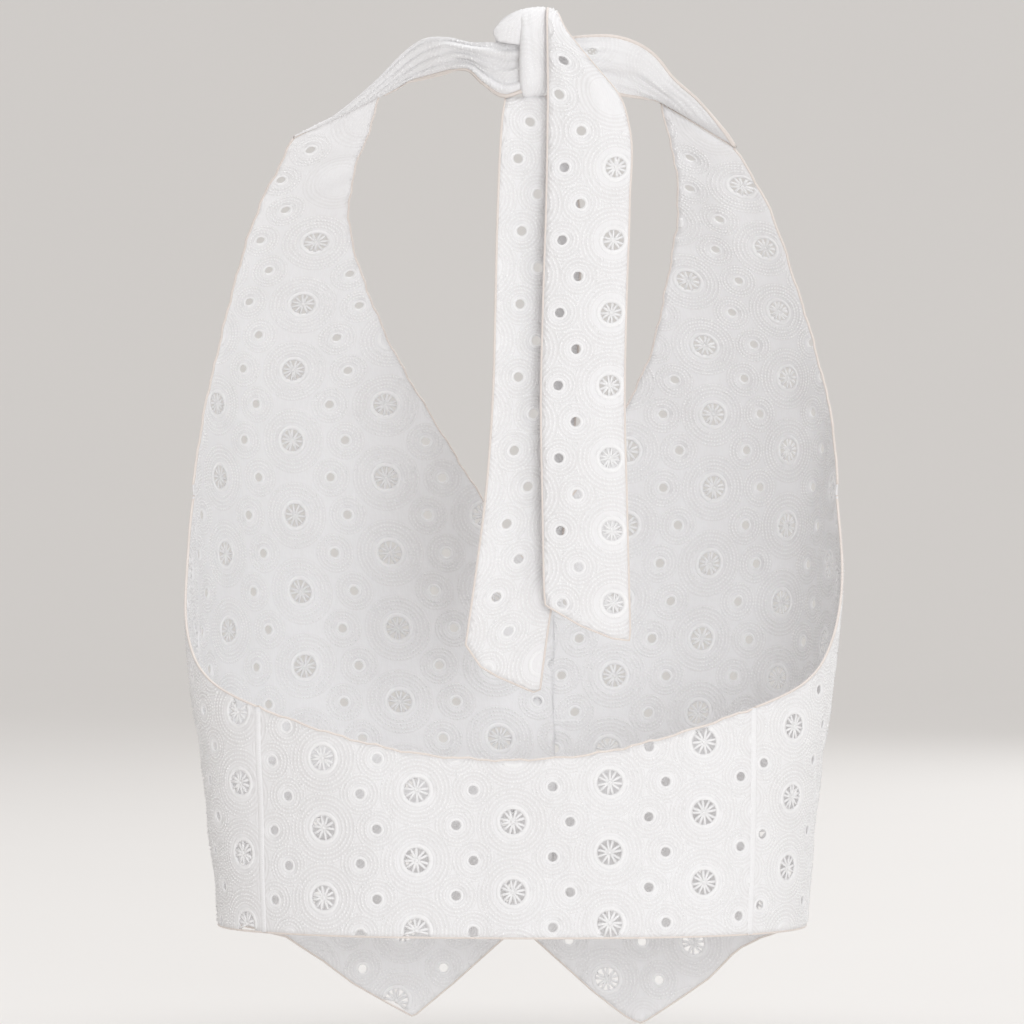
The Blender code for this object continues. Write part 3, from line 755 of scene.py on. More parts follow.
def lawn_finish(name, repeat, hollow_shade_share, rise):
    """The ground cloth; the rings of the repeat paint shade into its hollows by a share and raise it."""
    made, tree, shader = finish(name, 0.86, 0.18)
    calc = partial(math_node, tree)
    uv = add_node(tree, "ShaderNodeUVMap", uv_map="flat").outputs["UV"]
    weave = add_node(tree, "ShaderNodeGroup", {"Vector": uv}, node_tree=WEAVE).outputs
    cloud = noise_node(tree, uv, 26.0, 3.0)
    tone = calc("ADD", spread(tree, cloud, 0.0, 0.25), spread(tree, weave["Slub"], 0.0, 0.25))
    height = calc("ADD", weave["Height"], calc("MULTIPLY", noise_node(tree, uv, 420.0, 2.0), 2.5))
    if repeat:
        values = {"Vector": uv, **dict(zip(REPEAT_LABELS, repeat))}
        rings = add_node(tree, "ShaderNodeGroup", values, node_tree=RELIEF).outputs
        # painted shade: the hollows between the rows of ring stitches are darkened towards the deeper lawn
        # colour
        painted_hollow_shade = calc("MULTIPLY", calc("SUBTRACT", 1.0, rings["Height"]), rings["Worked"])
        tone = calc("ADD", tone, calc("MULTIPLY", painted_hollow_shade, hollow_shade_share))
        raised = calc("MULTIPLY", rings["Height"], rings["Worked"])
        height = calc("ADD", height, calc("MULTIPLY", raised, rise))
    tree.links.new(mixed(tree, tone, LAWN, LAWN_DEEP_AND_SHADE), shader["Base Color"])
    tree.links.new(spread(tree, weave["Slub"], 0.80, 0.92), shader["Roughness"])
    bump(tree, shader, height, 0.00010, 0.9)
    return made


def floss_finish(name, ribs, colour, depth):
    """Embroidery thread, ribbed across its own way."""
    made, tree, shader = finish(name, 0.55, 0.25)
    uv = add_node(tree, "ShaderNodeUVMap", uv_map="flat").outputs["UV"]
    values = {"Vector": uv, "Ribs": ribs}
    lie = add_node(tree, "ShaderNodeGroup", values, node_tree=THREAD).outputs["Height"]
    cloud = spread(tree, noise_node(tree, uv, 60.0, 2.0), 0.0, 0.8)
    shade = tuple(v * 0.93 for v in colour)
    tree.links.new(mixed(tree, cloud, colour, shade), shader["Base Color"])
    tree.links.new(spread(tree, lie, 0.48, 0.62), shader["Roughness"])
    bump(tree, shader, lie, depth, 0.8)
    return made


def pearl_finish():
    made, tree, shader = finish("button_shell", 0.25, 0.0, gloss=0.5, coat=0.4)
    place = tree.nodes.new("ShaderNodeTexCoord")
    swirl = noise_node(tree, place.outputs["Object"], 160.0, 3.0)
    tone = spread(tree, swirl, 0.0, 1.0)
    tree.links.new(mixed(tree, tone, PEARL, PEARL_DEEP), shader["Base Color"])
    tree.links.new(spread(tree, swirl, 0.18, 0.34), shader["Roughness"])
    bump(tree, shader, swirl, 0.00008, 0.4)
    return made


# How strongly the rings show: share of painted shade in the hollows between rows, rise of the relief
RING_SHADE_AND_RISE = {"front": (0.26, 1.0), "strap": (0.18, 0.6), "knot": (0.18, 0.6)}
COTTON = {
    node: lawn_finish("cotton_" + node, repeat, *RING_SHADE_AND_RISE.get(node.split("_")[0], (0.42, 1.3)))
    for node, repeat in REPEAT.items()
}
PLAIN = lawn_finish("cotton_plain", None, 0.0, 0.0)
SATIN = floss_finish("satin_thread", 9000.0, SATIN_WHITE, 0.00012)
STITCH = floss_finish("ring_thread", 5200.0, FLOSS, 0.00006)
# the turned edges carry the painted fold shade
EDGE = floss_finish("turned_edge", 2600.0, FOLD_SHADE, 0.00010)
SHELL = pearl_finish()
print("finishes:", [m.name for m in (*COTTON.values(), PLAIN, SATIN, STITCH, EDGE, SHELL)])

# %% [markdown]
# ## Cloth
# A piece of cloth starts as a flat triangulation of its outline with the eyelets cut out of it, fine
# enough for the creases. It is laid on, then given its thickness with Solidify, which closes it all round.
# The flat coordinates stay with it as the UV map.

# %% Piece builder
CLOTH = 0.0008
CLOTH_STEP = 0.0030
PIECES = {}
AREAS = {}


def keep(name, mesh, *coats):
    """A new object for a mesh, in the scene."""
    made = bpy.data.objects.new(name, mesh)
    for coat in coats:
        made.data.materials.append(coat)
    bpy.context.scene.collection.objects.link(made)
    return made


def baked(made):
    """Applies an object's modifiers and leaves it a plain mesh."""
    graph = bpy.context.evaluated_depsgraph_get()
    mesh = bpy.data.meshes.new_from_object(made.evaluated_get(graph))
    made.modifiers.clear()
    old = made.data
    made.data = mesh
    mesh.name = made.name
    bpy.data.meshes.remove(old)
    return made


def ring(x, y, radius, sides):
    turn = (np.arange(sides) + 0.5) * 2 * math.pi / sides
    return np.column_stack([x + radius * np.cos(turn), y + radius * np.sin(turn)])


def triangulated(outline, loops, step):
    """Flat points and triangles of an outline with loops cut out of it."""
    low = outline.min(axis=0)
    high = outline.max(axis=0)
    rows = np.arange(low[1], high[1], step * 0.87)
    columns = np.arange(low[0], high[0], step)
    grid = np.array([(x + step / 2 * (k % 2), y) for k, y in enumerate(rows) for x in columns])
    clear = room(grid, outline) > step * 0.45
    for loop in loops:
        middle = loop.mean(axis=0)
        reach = np.linalg.norm(loop - middle, axis=1).max() + step * 0.35
        near = np.linalg.norm(grid - middle, axis=1) < reach
        if near.any():
            clear[near] &= room(grid[near], loop) < -step * 0.30
    points = np.vstack([outline, *loops, grid[clear]])
    edges = []
    first = 0
    for loop in (outline, *loops):
        edges += [(first + k, first + (k + 1) % len(loop)) for k in range(len(loop))]
        first += len(loop)
    made = delaunay_2d_cdt([Vector(p) for p in points], edges, [], 1, 1e-7)
    flat = np.array([tuple(p) for p in made[0]])
    faces = np.array([tuple(f) for f in made[2]])
    middles = flat[faces].mean(axis=1)
    inside = room(middles, outline) > 0
    for loop in loops:
        near = np.linalg.norm(middles - loop.mean(axis=0), axis=1) < np.ptp(loop[:, 0])
        inside[near] &= room(middles[near], loop) < 0
    faces = faces[inside]
    used = np.unique(faces)
    order = np.full(len(flat), -1)
    order[used] = np.arange(len(used))
    return flat[used], order[faces]


def flat_area(flat, faces):
    a, b, c = (flat[faces[:, k]] for k in range(3))
    return abs(np.cross(b - a, c - a)).sum() / 2


def laid(name, flat, faces, wrap, coat, thick=CLOTH):
    """The flat piece laid on, with its flat coordinates as UV map and its thickness."""
    mesh = bpy.data.meshes.new(name)
    mesh.from_pydata((wrap(flat) - NAPE).tolist(), [], faces.tolist())
    uv = mesh.uv_layers.new(name="flat")
    uv.data.foreach_set("uv", flat[faces.reshape(-1)].astype(np.float32).reshape(-1))
    mesh.shade_smooth()
    made = keep(name, mesh, coat)
    wall = made.modifiers.new("wall", "SOLIDIFY")
    wall.thickness = thick
    wall.offset = 0.0
    return baked(made)


def cloth(node, outline, holes, wrap, step=CLOTH_STEP):
    """One piece of cloth in place of its solid."""
    fine = walk(outline, step)
    flat, faces = triangulated(fine, holes, step)
    made = laid("cloth_" + node, flat, faces, wrap, COTTON[node])
    PIECES[node] = made
    AREAS[node] = (flat_area(flat, faces), np.ptp(flat, axis=0))
    print(made.name, len(made.data.polygons), "faces, flat", np.round(AREAS[node][1], 3), "m")
    return made


# %% [markdown]
# ## Embroidery
# Around each wheel lies a satin rim and four rings of short stitches, and threads cross its hole to the
# middle. A small eyelet has a narrow rim and three rings. Where two motifs meet, each stitch belongs to the
# one that it is nearer to for its size, so the rings meet along a line, as on the cloth. The rims are tubes,
# closed where the whole hole is on the piece and cut off where it isn't. The stitches and the spokes are
# thousands of small things on points, which is what Geometry Nodes is for: each point carries the cloth's
# normal and the stitch's direction, and a tree puts a small faceted grain there. A stitch goes right through
# the cloth, so that one grain shows on both faces.

# %% Placing flat things on worn cloth
def stood(wrap, flat, lift):
    """Points at flat places, lifted off the cloth."""
    here, _, _, normal = lie_of(wrap, flat)
    return here + normal * lift[:, None]


def lie_of(wrap, flat):
    """Place, two directions and normal of the worn cloth at flat places."""
    step = 0.0005
    here = wrap(flat)
    across = wrap(flat + (step, 0.0)) - wrap(flat - (step, 0.0))
    along = wrap(flat + (0.0, step)) - wrap(flat - (0.0, step))
    across /= np.linalg.norm(across, axis=1)[:, None]
    along /= np.linalg.norm(along, axis=1)[:, None]
    normal = np.cross(across, along)
    return here, across, along, normal / np.linalg.norm(normal, axis=1)[:, None]


ROUND_STEP = 0.0004  # texture length of one side of a tube


def tube(path, wide, high, sides, closed):
    """A tube along a flat path: points across, along and lifted, its faces, and its own two coordinates."""
    ahead = np.roll(path, -1, axis=0) if closed else np.vstack([path[1:], 2 * path[-1] - path[-2]])
    behind = np.roll(path, 1, axis=0) if closed else np.vstack([2 * path[0] - path[1], path[:-1]])
    run = ahead - behind
    run /= np.maximum(np.linalg.norm(run, axis=1), 1e-9)[:, None]
    beside = np.column_stack([run[:, 1], -run[:, 0]])
    turn = (np.arange(sides) + 0.5) * 2 * math.pi / sides
    spots = path[:, None] + beside[:, None] * (wide * np.cos(turn))[None, :, None]
    lift = np.broadcast_to(high * np.sin(turn), (len(path), sides))
    points = np.concatenate([spots, lift[..., None]], axis=-1).reshape(-1, 3)
    laps = np.vstack([path, path[:1]]) if closed else path
    length = np.concatenate([[0.0], np.cumsum(np.linalg.norm(np.diff(laps, axis=0), axis=1))])
    faces = []
    own = []
    for k in range(len(length) - 1):
        here = k * sides
        there = (k + 1) % len(path) * sides
        for m in range(sides):
            n = (m + 1) % sides
            faces.append((here + m, here + n, there + n, there + m))
            low, top = m * ROUND_STEP, (m + 1) * ROUND_STEP
            own += [(length[k], low), (length[k], top), (length[k + 1], top), (length[k + 1], low)]
    if not closed:
        faces.append(tuple(reversed(range(sides))))
        faces.append(tuple(range(len(points) - sides, len(points))))
        own += [(0.0, 0.0)] * (2 * sides)
    return points, faces, np.array(own)


def tubes(name, parts, wrap, coat):
    """Several tubes as one object, laid on."""
    points, faces, own = [], [], []
    first = 0
    for spots, quads, along in parts:
        points.append(spots)
        own.append(along)
        faces += [tuple(first + k for k in face) for face in quads]
        first += len(spots)
    points = np.vstack(points)
    own = np.vstack(own)
    mesh = bpy.data.meshes.new(name)
    mesh.from_pydata((stood(wrap, points[:, :2], points[:, 2]) - NAPE).tolist(), [], faces)
    uv = mesh.uv_layers.new(name="flat")
    uv.data.foreach_set("uv", own.astype(np.float32).reshape(-1))
    tidy = bmesh.new()
    tidy.from_mesh(mesh)
    bmesh.ops.recalc_face_normals(tidy, faces=tidy.faces)
    tidy.to_mesh(mesh)
    tidy.free()
    mesh.shade_smooth()
    return keep(name, mesh, coat)


def runs_inside(path, outline, margin):
    """The stretches of a closed path that lie on the piece."""
    inside = room(path, outline) > margin
    if inside.all():
        return [(path, True)]
    if not inside.any():
        return []
    start = int(np.argmin(inside))
    path = np.roll(path, -start, axis=0)
    inside = np.roll(inside, -start)
    marks = np.flatnonzero(np.diff(np.concatenate([[0], inside.astype(int), [0]])))
    return [(path[a:b], False) for a, b in zip(marks[::2], marks[1::2]) if b - a > 2]


# %% Stitch tree
def stitch_tree(name, spokes):
    """Grains on points. The points carry the cloth's normal and the direction of the stitch."""
    sizes = {label: "Float" for label in ("Length", "Width", "Height", "Slant", "Uneven")}
    sockets = {"Geometry": "Geometry", **sizes, "Seed": "Int", "Thread": "Material"}
    tree, given, result = new_group(name, "Geometry", sockets, {"Geometry": "Geometry"})
    add = partial(add_node, tree)
    if spokes:
        bar = add("GeometryNodeMeshCylinder", {"Vertices": 5, "Radius": 0.5, "Depth": 1.0}).outputs[0]
        grain = add("GeometryNodeTransform", {"Geometry": bar, "Rotation": (0.0, math.pi / 2, 0.0)})
    else:
        grain = add("GeometryNodeMeshUVSphere", {"Segments": 4, "Rings": 2, "Radius": 0.5})
    normal, along = (
        add("GeometryNodeInputNamedAttribute", {"Name": label}, data_type="FLOAT_VECTOR").outputs[0]
        for label in ("normal", "along")
    )
    lying = add("FunctionNodeAlignRotationToVector", {"Vector": normal}, axis="Z").outputs[0]
    values = {"Rotation": lying, "Vector": along}
    turned = add("FunctionNodeAlignRotationToVector", values, axis="X", pivot_axis="Z").outputs[0]
    values = {2: -1.0, 3: 1.0, "Seed": given["Seed"]}
    chance = add("FunctionNodeRandomValue", values, data_type="FLOAT").outputs[1]
    sway = math_node(tree, "MULTIPLY_ADD", chance, given["Uneven"], given["Slant"])
    grow = math_node(tree, "MULTIPLY_ADD", chance, given["Uneven"], 1.0)
    twist = add("FunctionNodeAxisAngleToRotation", {"Axis": (0.0, 0.0, 1.0), "Angle": sway}).outputs[0]
    values = {"Rotation": turned, "Rotate By": twist}
    placed = add("FunctionNodeRotateRotation", values, rotation_space="LOCAL").outputs[0]
    size = add("ShaderNodeCombineXYZ", {0: given["Length"], 1: given["Width"], 2: given["Height"]})
    sized = add("ShaderNodeVectorMath", {0: size.outputs[0], "Scale": grow}, operation="SCALE").outputs[0]
    values = {"Points": given["Geometry"], "Instance": grain.outputs[0], "Rotation": placed, "Scale": sized}
    grown = add("GeometryNodeInstanceOnPoints", values).outputs[0]
    for kind in ("GeometryNodeRealizeInstances", "GeometryNodeSetShadeSmooth"):
        grown = add(kind, {"Geometry": grown}).outputs[0]
    coated = add("GeometryNodeSetMaterial", {"Geometry": grown, "Material": given["Thread"]})
    tree.links.new(coated.outputs[0], result["Geometry"])
    return tree


RING_STITCHES = stitch_tree("ring_stitches", spokes=False)
SPOKES = stitch_tree("wheel_spokes", spokes=True)


def sown(name, tree, wrap, flat, direction, sizes, coat):
    """Grains at flat places, lying along flat directions."""
    here, across, along, normal = lie_of(wrap, flat)
    course = across * direction[:, :1] + along * direction[:, 1:]
    mesh = bpy.data.meshes.new(name)
    mesh.from_pydata((here - NAPE).tolist(), [], [])
    for label, values in (("normal", normal), ("along", course)):
        layer = mesh.attributes.new(label, "FLOAT_VECTOR", "POINT")
        layer.data.foreach_set("vector", values.astype(np.float32).reshape(-1))
    made = keep(name, mesh)
    grains = made.modifiers.new("grains", "NODES")
    grains.node_group = tree
    sockets = {item.name: item.identifier for item in tree.interface.items_tree if item.in_out == "INPUT"}
    for label, value in {**sizes, "Thread": coat}.items():
        grains[sockets[label]] = value
    made = baked(made)
    uv = made.data.uv_layers.get("flat") or made.data.uv_layers.new(name="flat")
    spots = np.empty(len(made.data.vertices) * 3, np.float32)
    made.data.vertices.foreach_get("co", spots)
    corners = np.empty(len(made.data.loops), np.int32)
    made.data.loops.foreach_get("vertex_index", corners)
    spots = spots.reshape(-1, 3)[corners]
    uv.data.foreach_set("uv", (spots[:, [0, 2]] + spots[:, [1, 1]] * 0.6).reshape(-1))
    return made


# %% Motifs of a piece
STITCH_PITCH = 0.00175
RIM = {1: (0.0073, 0.00145, 0.00064, 32), 0: (0.0031, 0.00095, 0.00062, 16)}  # radius, wide, high, points
RIM_SIDES = 6
CUT = {1: (0.0072, 24), 0: (0.0030, 12)}  # radius, points
WHEEL_SIZE = {"tail_right": 0.84, "tail_left": 0.84}  # the wheels of the ends are drawn in tighter
SPOKE_COUNTS = (11, 10, 12, 11, 12)
SEAM_PLAIN = 0.0050
CLOSED_RINGS = (0.0018, 0.0038, 0.0060, 0.0083)
RING_GAP = 0.0006  # added to the reach of an eyelet where its rings meet another's
SPOKE_REACH = 0.0034  # from a spoke's middle to near its ends
# How far inside the outline the middle of a hole, a rim, a spoke's ends and a wheel's knot have to lie
CUT_ROOM = 0.0005
RIM_ROOM = 0.0009
SPOKE_ROOM = 0.0004
KNOT_ROOM = 0.0015
# Grains of the rings, of the spokes and of the knot in a wheel's middle
RING_SIZES = {"Length": 0.0018, "Width": 0.0012, "Height": 0.0026, "Slant": 0.45, "Uneven": 0.18, "Seed": 11}
GATHERED_SIZES = {"Width": 0.0009, "Height": 0.0015}
SPOKE_SIZES = {"Length": 0.0072, "Width": 0.00145, "Height": 0.00065, "Slant": 0.0, "Uneven": 0.04, "Seed": 5}
KNOT_SIZES = {"Length": 0.0034, "Width": 0.0034, "Height": 0.0018, "Slant": 0.0, "Uneven": 0.06, "Seed": 3}


def cut_loops(node, eyelets, outline):
    """The holes to cut, for every eyelet whose middle is on the piece."""
    loops = []
    for x, y, kind in eyelets[room(eyelets[:, :2], outline) > CUT_ROOM]:
        radius, count = CUT[int(kind)]
        loops.append(ring(x, y, radius * WHEEL_SIZE.get(node, 1.0) if kind else radius, count))
    return loops


def embroider(node, eyelets, outline, wrap, plain=None, gathered=False):
    """Rims, spokes and rings of one cloth; a gathered one has rings alone, down to the middle."""
    rims = []
    tight = WHEEL_SIZE.get(node, 1.0)
    for x, y, kind in [] if gathered else eyelets:
        radius, wide, high, count = RIM[int(kind)]
        if kind:
            radius *= tight
        for path, whole in runs_inside(ring(x, y, radius, count), outline, RIM_ROOM):
            rims.append(tube(path, wide, high, RIM_SIDES, whole))
    trims = [tubes("rims_" + node, rims, wrap, SATIN)] if rims else []

    centres = eyelets[:, :2]
    reach = np.where(eyelets[:, 2] == 1, WHEEL_RINGS[-1], DOT_RINGS[-1])
    spots, ways = [], []
    for k, (x, y, kind) in enumerate(eyelets):
        rings = WHEEL_RINGS if kind else DOT_RINGS
        for radius in (*CLOSED_RINGS[: 4 if kind else 2], *rings) if gathered else rings:
            count = round(2 * math.pi * radius / STITCH_PITCH)
            turn = np.arange(count) * 2 * math.pi / count + 0.4 * k
            dots = np.column_stack([x + radius * np.cos(turn), y + radius * np.sin(turn)])
            power = np.square(dots[:, None] - centres[None]).sum(-1) - np.square(reach + RING_GAP)
            own = power.argmin(axis=1) == k
            spots.append(dots[own])
            ways.append(np.column_stack([-np.sin(turn), np.cos(turn)])[own])
    spots = np.vstack(spots)
    ways = np.vstack(ways)
    on = room(spots, outline) > PLAIN_EDGE
    if plain:
        on &= ~plain(spots)
    sizes = {**RING_SIZES, **(GATHERED_SIZES if gathered else {})}
    trims.append(sown("rings_" + node, RING_STITCHES, wrap, spots[on], ways[on], sizes, STITCH))

    spots, ways = [], []
    for k, (x, y, kind) in enumerate(eyelets):
        if kind and not gathered:
            count = SPOKE_COUNTS[k % len(SPOKE_COUNTS)]
            turn = np.arange(count) * 2 * math.pi / count + 0.7 * k
            turn = turn + 0.07 * np.sin(turn * 5 + k)
            way = np.column_stack([np.cos(turn), np.sin(turn)])
            spots.append(way * WHEEL_RADIUS * tight / 2 + (x, y))
            ways.append(way)
    if spots:
        spots = np.vstack(spots)
        ways = np.vstack(ways)
        ends = [room(spots + way * SPOKE_REACH, outline) for way in (ways, -ways)]
        on = np.minimum(*ends) > SPOKE_ROOM
        sizes = {**SPOKE_SIZES, "Length": SPOKE_SIZES["Length"] * tight}
        if on.any():
            trims.append(sown("spokes_" + node, SPOKES, wrap, spots[on], ways[on], sizes, SATIN))
        middles = eyelets[(eyelets[:, 2] == 1) & (room(eyelets[:, :2], outline) > KNOT_ROOM)][:, :2]
        if len(middles):
            ways = np.tile((1.0, 0.0), (len(middles), 1))
            trims.append(sown("knots_" + node, RING_STITCHES, wrap, middles, ways, KNOT_SIZES, SATIN))
    print(node, len(eyelets), "motifs,", sum(len(t.data.polygons) for t in trims), "faces")
    return trims


def turned_edges(node, lines, wrap, wide=0.00060, high=0.00070):
    """The narrow roll of a turned edge along each free edge."""
    parts = []
    for line in lines:
        parts.append(tube(walk(line, 0.0035, closed=False), wide, high, 6, False))
    return tubes("edge_" + node, parts, wrap, EDGE)


# %% [markdown]
# ## Body pieces
# The two fronts, the side panels and the band are now made from their outlines, their repeat and their
# rule. At the seams of the band a narrow strip is left plain, where the seam allowance lies behind.

# %% Fronts, side panels and band
TRIMS = {}


def near_seam(spots):
    return np.abs(np.abs(spots[:, 0]) - BACK_SEAM) < SEAM_PLAIN


BODY = {
    "front_left": (front_outline(-1, 1, -LEFT_EDGE), front_worn(-1, -1.0), None),
    "front_right": (front_outline(1, 2, RIGHT_EDGE), front_worn(1, 1.0), None),
    "side_left": (side_outline(-1.0), back_worn, near_seam),
    "side_right": (side_outline(1.0), back_worn, near_seam),
    "back_band": (band_outline(), back_worn, near_seam),
}
for node, ((outline, free), wrap, plain) in BODY.items():
    line = walk(outline, 0.004)
    eyelets = lattice(REPEAT[node], line, WITHOUT.get(node, ()), STRAY.get(node, ()))
    cloth(node, outline, cut_loops(node, eyelets, line), wrap)
    TRIMS[node] = embroider(node, eyelets, line, wrap, plain)
    TRIMS[node].append(turned_edges(node, free, wrap))

# %% Seams and buttonholes
SEAM_STRIP = (0.0021, 0.00078)  # half width and rise of a felled seam
BUTTONHOLES = ((-0.0480, 0.0195), (-0.1100, 0.0285), (-0.1720, 0.0285))  # height, arc where it ends


def seam_strip(name, line):
    """The flat fell that covers a seam."""
    return tubes(name, [tube(walk(line, 0.0035, closed=False), *SEAM_STRIP, 8, False)], back_worn, PLAIN)


for side, node in ((-1.0, "side_left"), (1.0, "side_right")):
    upright = [(side * BACK_SEAM, BAND_HEM), (side * BACK_SEAM, float(through(BACK_SEAM, BACK_TOP, 1)))]
    TRIMS[node].append(seam_strip("fell_back_" + node, np.array(upright)))
    across = side * (half_girth(SEAM_HEIGHTS) - np.interp(SEAM_HEIGHTS, *zip(*FRONT_SEAM)) - GAP / 2)
    TRIMS[node].append(seam_strip("fell_front_" + node, np.column_stack([across, SEAM_HEIGHTS])))

holes = []
for height, end in BUTTONHOLES:
    turn = np.linspace(0.0, 2 * math.pi, 12, endpoint=False)
    ends = np.where(np.cos(turn) >= 0, end, 0.0110)
    loop = np.column_stack([ends + 0.0009 * np.cos(turn), height + 0.0009 * np.sin(turn)])
    holes.append(tube(front_flat(loop[:, 0], loop[:, 1]), 0.0008, 0.0008, 6, True))
TRIMS["front_right"].append(tubes("buttonholes", holes, BODY["front_right"][1], SATIN))
print("felled seams: 4, buttonholes:", len(holes))

# %% [markdown]
# ## Ties, knot and hanging ends
# Over the shoulders each front narrows into a tie that is gathered in the hand: its width stays, but it
# lies in lengthwise folds between two edges that come together. The knot is the right tie laid once round
# the left one, and both ends hang from it, flat and with slanting feet.

# %% Tie stations
# lower or left edge, upper or right edge, fold depth, in millimetres
STRAP_LEFT = (
    (-65.9, -20.2, 206.6, -107.0, -14.2, 187.2, 0.0),
    (-59.0, -29.0, 209.5, -88.2, -27.0, 196.0, 1.2),
    (-50.1, -39.0, 211.6, -67.5, -39.0, 211.5, 2.2),
    (-40.6, -48.5, 213.4, -50.5, -48.5, 227.0, 2.6),
    (-33.7, -55.5, 214.8, -41.6, -55.0, 232.0, 2.6),
    (-24.4, -63.0, 216.6, -29.8, -62.5, 232.6, 2.5),
    (-17.0, -69.0, 215.6, -17.6, -68.5, 229.6, 2.3),
    (-9.5, -75.0, 208.0, -7.0, -74.0, 229.0, 2.6),
    (-0.2, -80.5, 202.2, 1.5, -76.5, 228.5, 2.6),
    (9.5, -83.0, 204.6, 10.0, -79.4, 228.0, 2.4),
    (15.5, -83.2, 206.0, 15.8, -80.8, 227.0, 2.2),
)
STRAP_RIGHT = (
    (75.6, -18.5, 203.0, 112.6, -12.5, 182.0, 0.0),
    (72.3, -28.0, 204.6, 105.6, -25.0, 189.5, 0.8),
    (68.6, -37.0, 204.0, 92.7, -36.0, 204.0, 1.4),
    (64.3, -46.0, 203.6, 81.0, -46.0, 214.0, 1.8),
    (59.5, -54.0, 203.8, 72.8, -54.0, 223.4, 2.0),
    (53.3, -62.0, 204.7, 64.0, -62.0, 229.0, 2.0),
    (45.2, -69.0, 206.0, 52.0, -69.0, 232.0, 2.0),
    (35.6, -73.0, 208.0, 40.0, -73.0, 231.6, 2.0),
    (24.5, -73.5, 210.0, 26.5, -73.5, 230.0, 1.8),
    (10.5, -72.8, 211.5, 11.5, -72.8, 228.0, 1.6),
)
KNOT_WRAP = (
    (9.5, -67.0, 208.0, 20.0, -67.0, 209.0, 0.6),
    (9.2, -75.0, 203.4, 20.3, -75.0, 204.4, 1.0),
    (8.8, -81.5, 203.2, 20.4, -81.0, 204.6, 2.2),
    (8.2, -84.4, 207.6, 20.6, -83.6, 210.0, 3.4),
    (7.8, -84.9, 217.6, 20.6, -84.2, 219.0, 4.0),
    (8.2, -84.6, 229.0, 20.6, -84.6, 229.0, 4.2),
    (8.2, -83.6, 238.0, 20.6, -83.0, 238.5, 3.2),
    (6.4, -81.6, 242.0, 20.6, -79.5, 244.3, 1.6),
    (0.6, -79.4, 240.4, 20.4, -73.5, 244.0, 0.8),
    (-4.2, -76.4, 234.6, 20.0, -68.0, 239.0, 0.8),
    (-4.6, -71.4, 229.0, 19.0, -66.0, 230.0, 0.6),
)
TAIL_RIGHT = (
    (21.2, -70.0, 239.5, 24.0, -70.0, 238.0, 0.0),
    (21.2, -76.0, 244.5, 24.5, -76.0, 243.0, -0.2),
    (21.2, -83.0, 244.0, 26.5, -83.0, 241.0, -0.4),
    (21.3, -88.5, 238.5, 29.5, -88.0, 234.5, -0.6),
    (21.5, -91.0, 229.0, 36.0, -90.5, 226.0, -1.0),
    (21.7, -91.8, 216.0, 46.0, -91.0, 214.0, -1.6),
    (21.8, -92.0, 202.0, 56.4, -91.5, 201.0, -2.2),
    (21.6, -92.0, 185.0, 61.2, -91.5, 185.0, -2.6),
    (21.0, -92.0, 150.0, 61.2, -91.5, 150.0, -2.4),
    (19.4, -92.0, 100.0, 59.6, -91.5, 100.0, -2.0),
    (18.4, -92.0, 54.0, 58.8, -91.5, 54.0, -1.8),
    (19.2, -92.0, 0.0, 60.0, -91.5, 0.0, -2.0),
    (20.4, -92.0, -64.0, 61.6, -91.5, -64.0, -2.2),
)
TAIL_LEFT = (
    (0.6, -80.8, 200.9, 20.4, -80.8, 202.0, -0.8),
    (-0.6, -83.5, 192.0, 24.5, -83.5, 193.0, 0.4),
    (-1.6, -85.0, 178.0, 30.0, -85.0, 180.0, 1.0),
    (-2.8, -86.0, 150.0, 36.0, -79.0, 151.0, 1.7),
    (-4.0, -86.5, 100.0, 36.2, -77.0, 100.0, 2.0),
    (-5.0, -86.5, 60.0, 35.2, -77.0, 60.0, 2.0),
    (-9.0, -86.5, 5.0, 31.0, -78.0, 7.0, 1.8),
    (-13.5, -86.5, -30.0, 26.0, -81.0, -27.0, 1.5),
    (-18.0, -86.5, -62.0, 21.5, -86.0, -57.0, 1.2),
    (-22.0, -86.5, -92.0, 17.5, -86.0, -87.0, 1.2),
)


# %% Straps and knot
STRAP_HALVES = (0.0165, 0.0175)
STRAP_EYELETS = {"strap_right": ((0.0066, 0.0843),)}  # the one that isn't hidden in the folds


def step_up(value, low, high):
    t = np.clip((value - low) / (high - low), 0.0, 1.0)
    return t * t * (3 - 2 * t)


def left_folds(share, along):
    """Fine gathers up to the twist, then folds that fan out; plus is away from the eye."""
    gathers = 0.26 * np.sin(4.6 * math.pi * share + 34.0 * along)
    gathers = gathers + 0.13 * np.sin(9.0 * math.pi * share - 50.0 * along)
    curl = 1.1 * step_up(-share, 0.05, 1.0) * step_up(along, 0.020, 0.055)
    fan = 0.50 * np.sin(2.9 * math.pi * share + 1.3 - 16.0 * along)
    fan = fan + 0.25 * np.sin(6.1 * math.pi * share + 0.4)
    fan = fan + 0.14 * np.sin(11.0 * math.pi * share + 70.0 * along)
    fan = fan + 0.70 * np.exp(-(((share + 0.05 - 9.0 * (along - 0.115)) / 0.13) ** 2))
    late = step_up(along, 0.068, 0.088)
    return (gathers + curl) * (1 - late) + fan * late


def right_folds(share, along):
    """One fold lies over the lower half of the tie; plus is towards the eye."""
    line = 0.10 - 0.55 * step_up(along, 0.030, 0.110)
    over = 0.75 * np.tanh((share - line) / 0.09) * step_up(along, 0.020, 0.045)
    fine = 0.16 * np.sin(5.4 * math.pi * share - 22.0 * along)
    fine = fine + 0.09 * np.sin(10.2 * math.pi * share + 45.0 * along)
    return over + fine - 0.5 * share * share


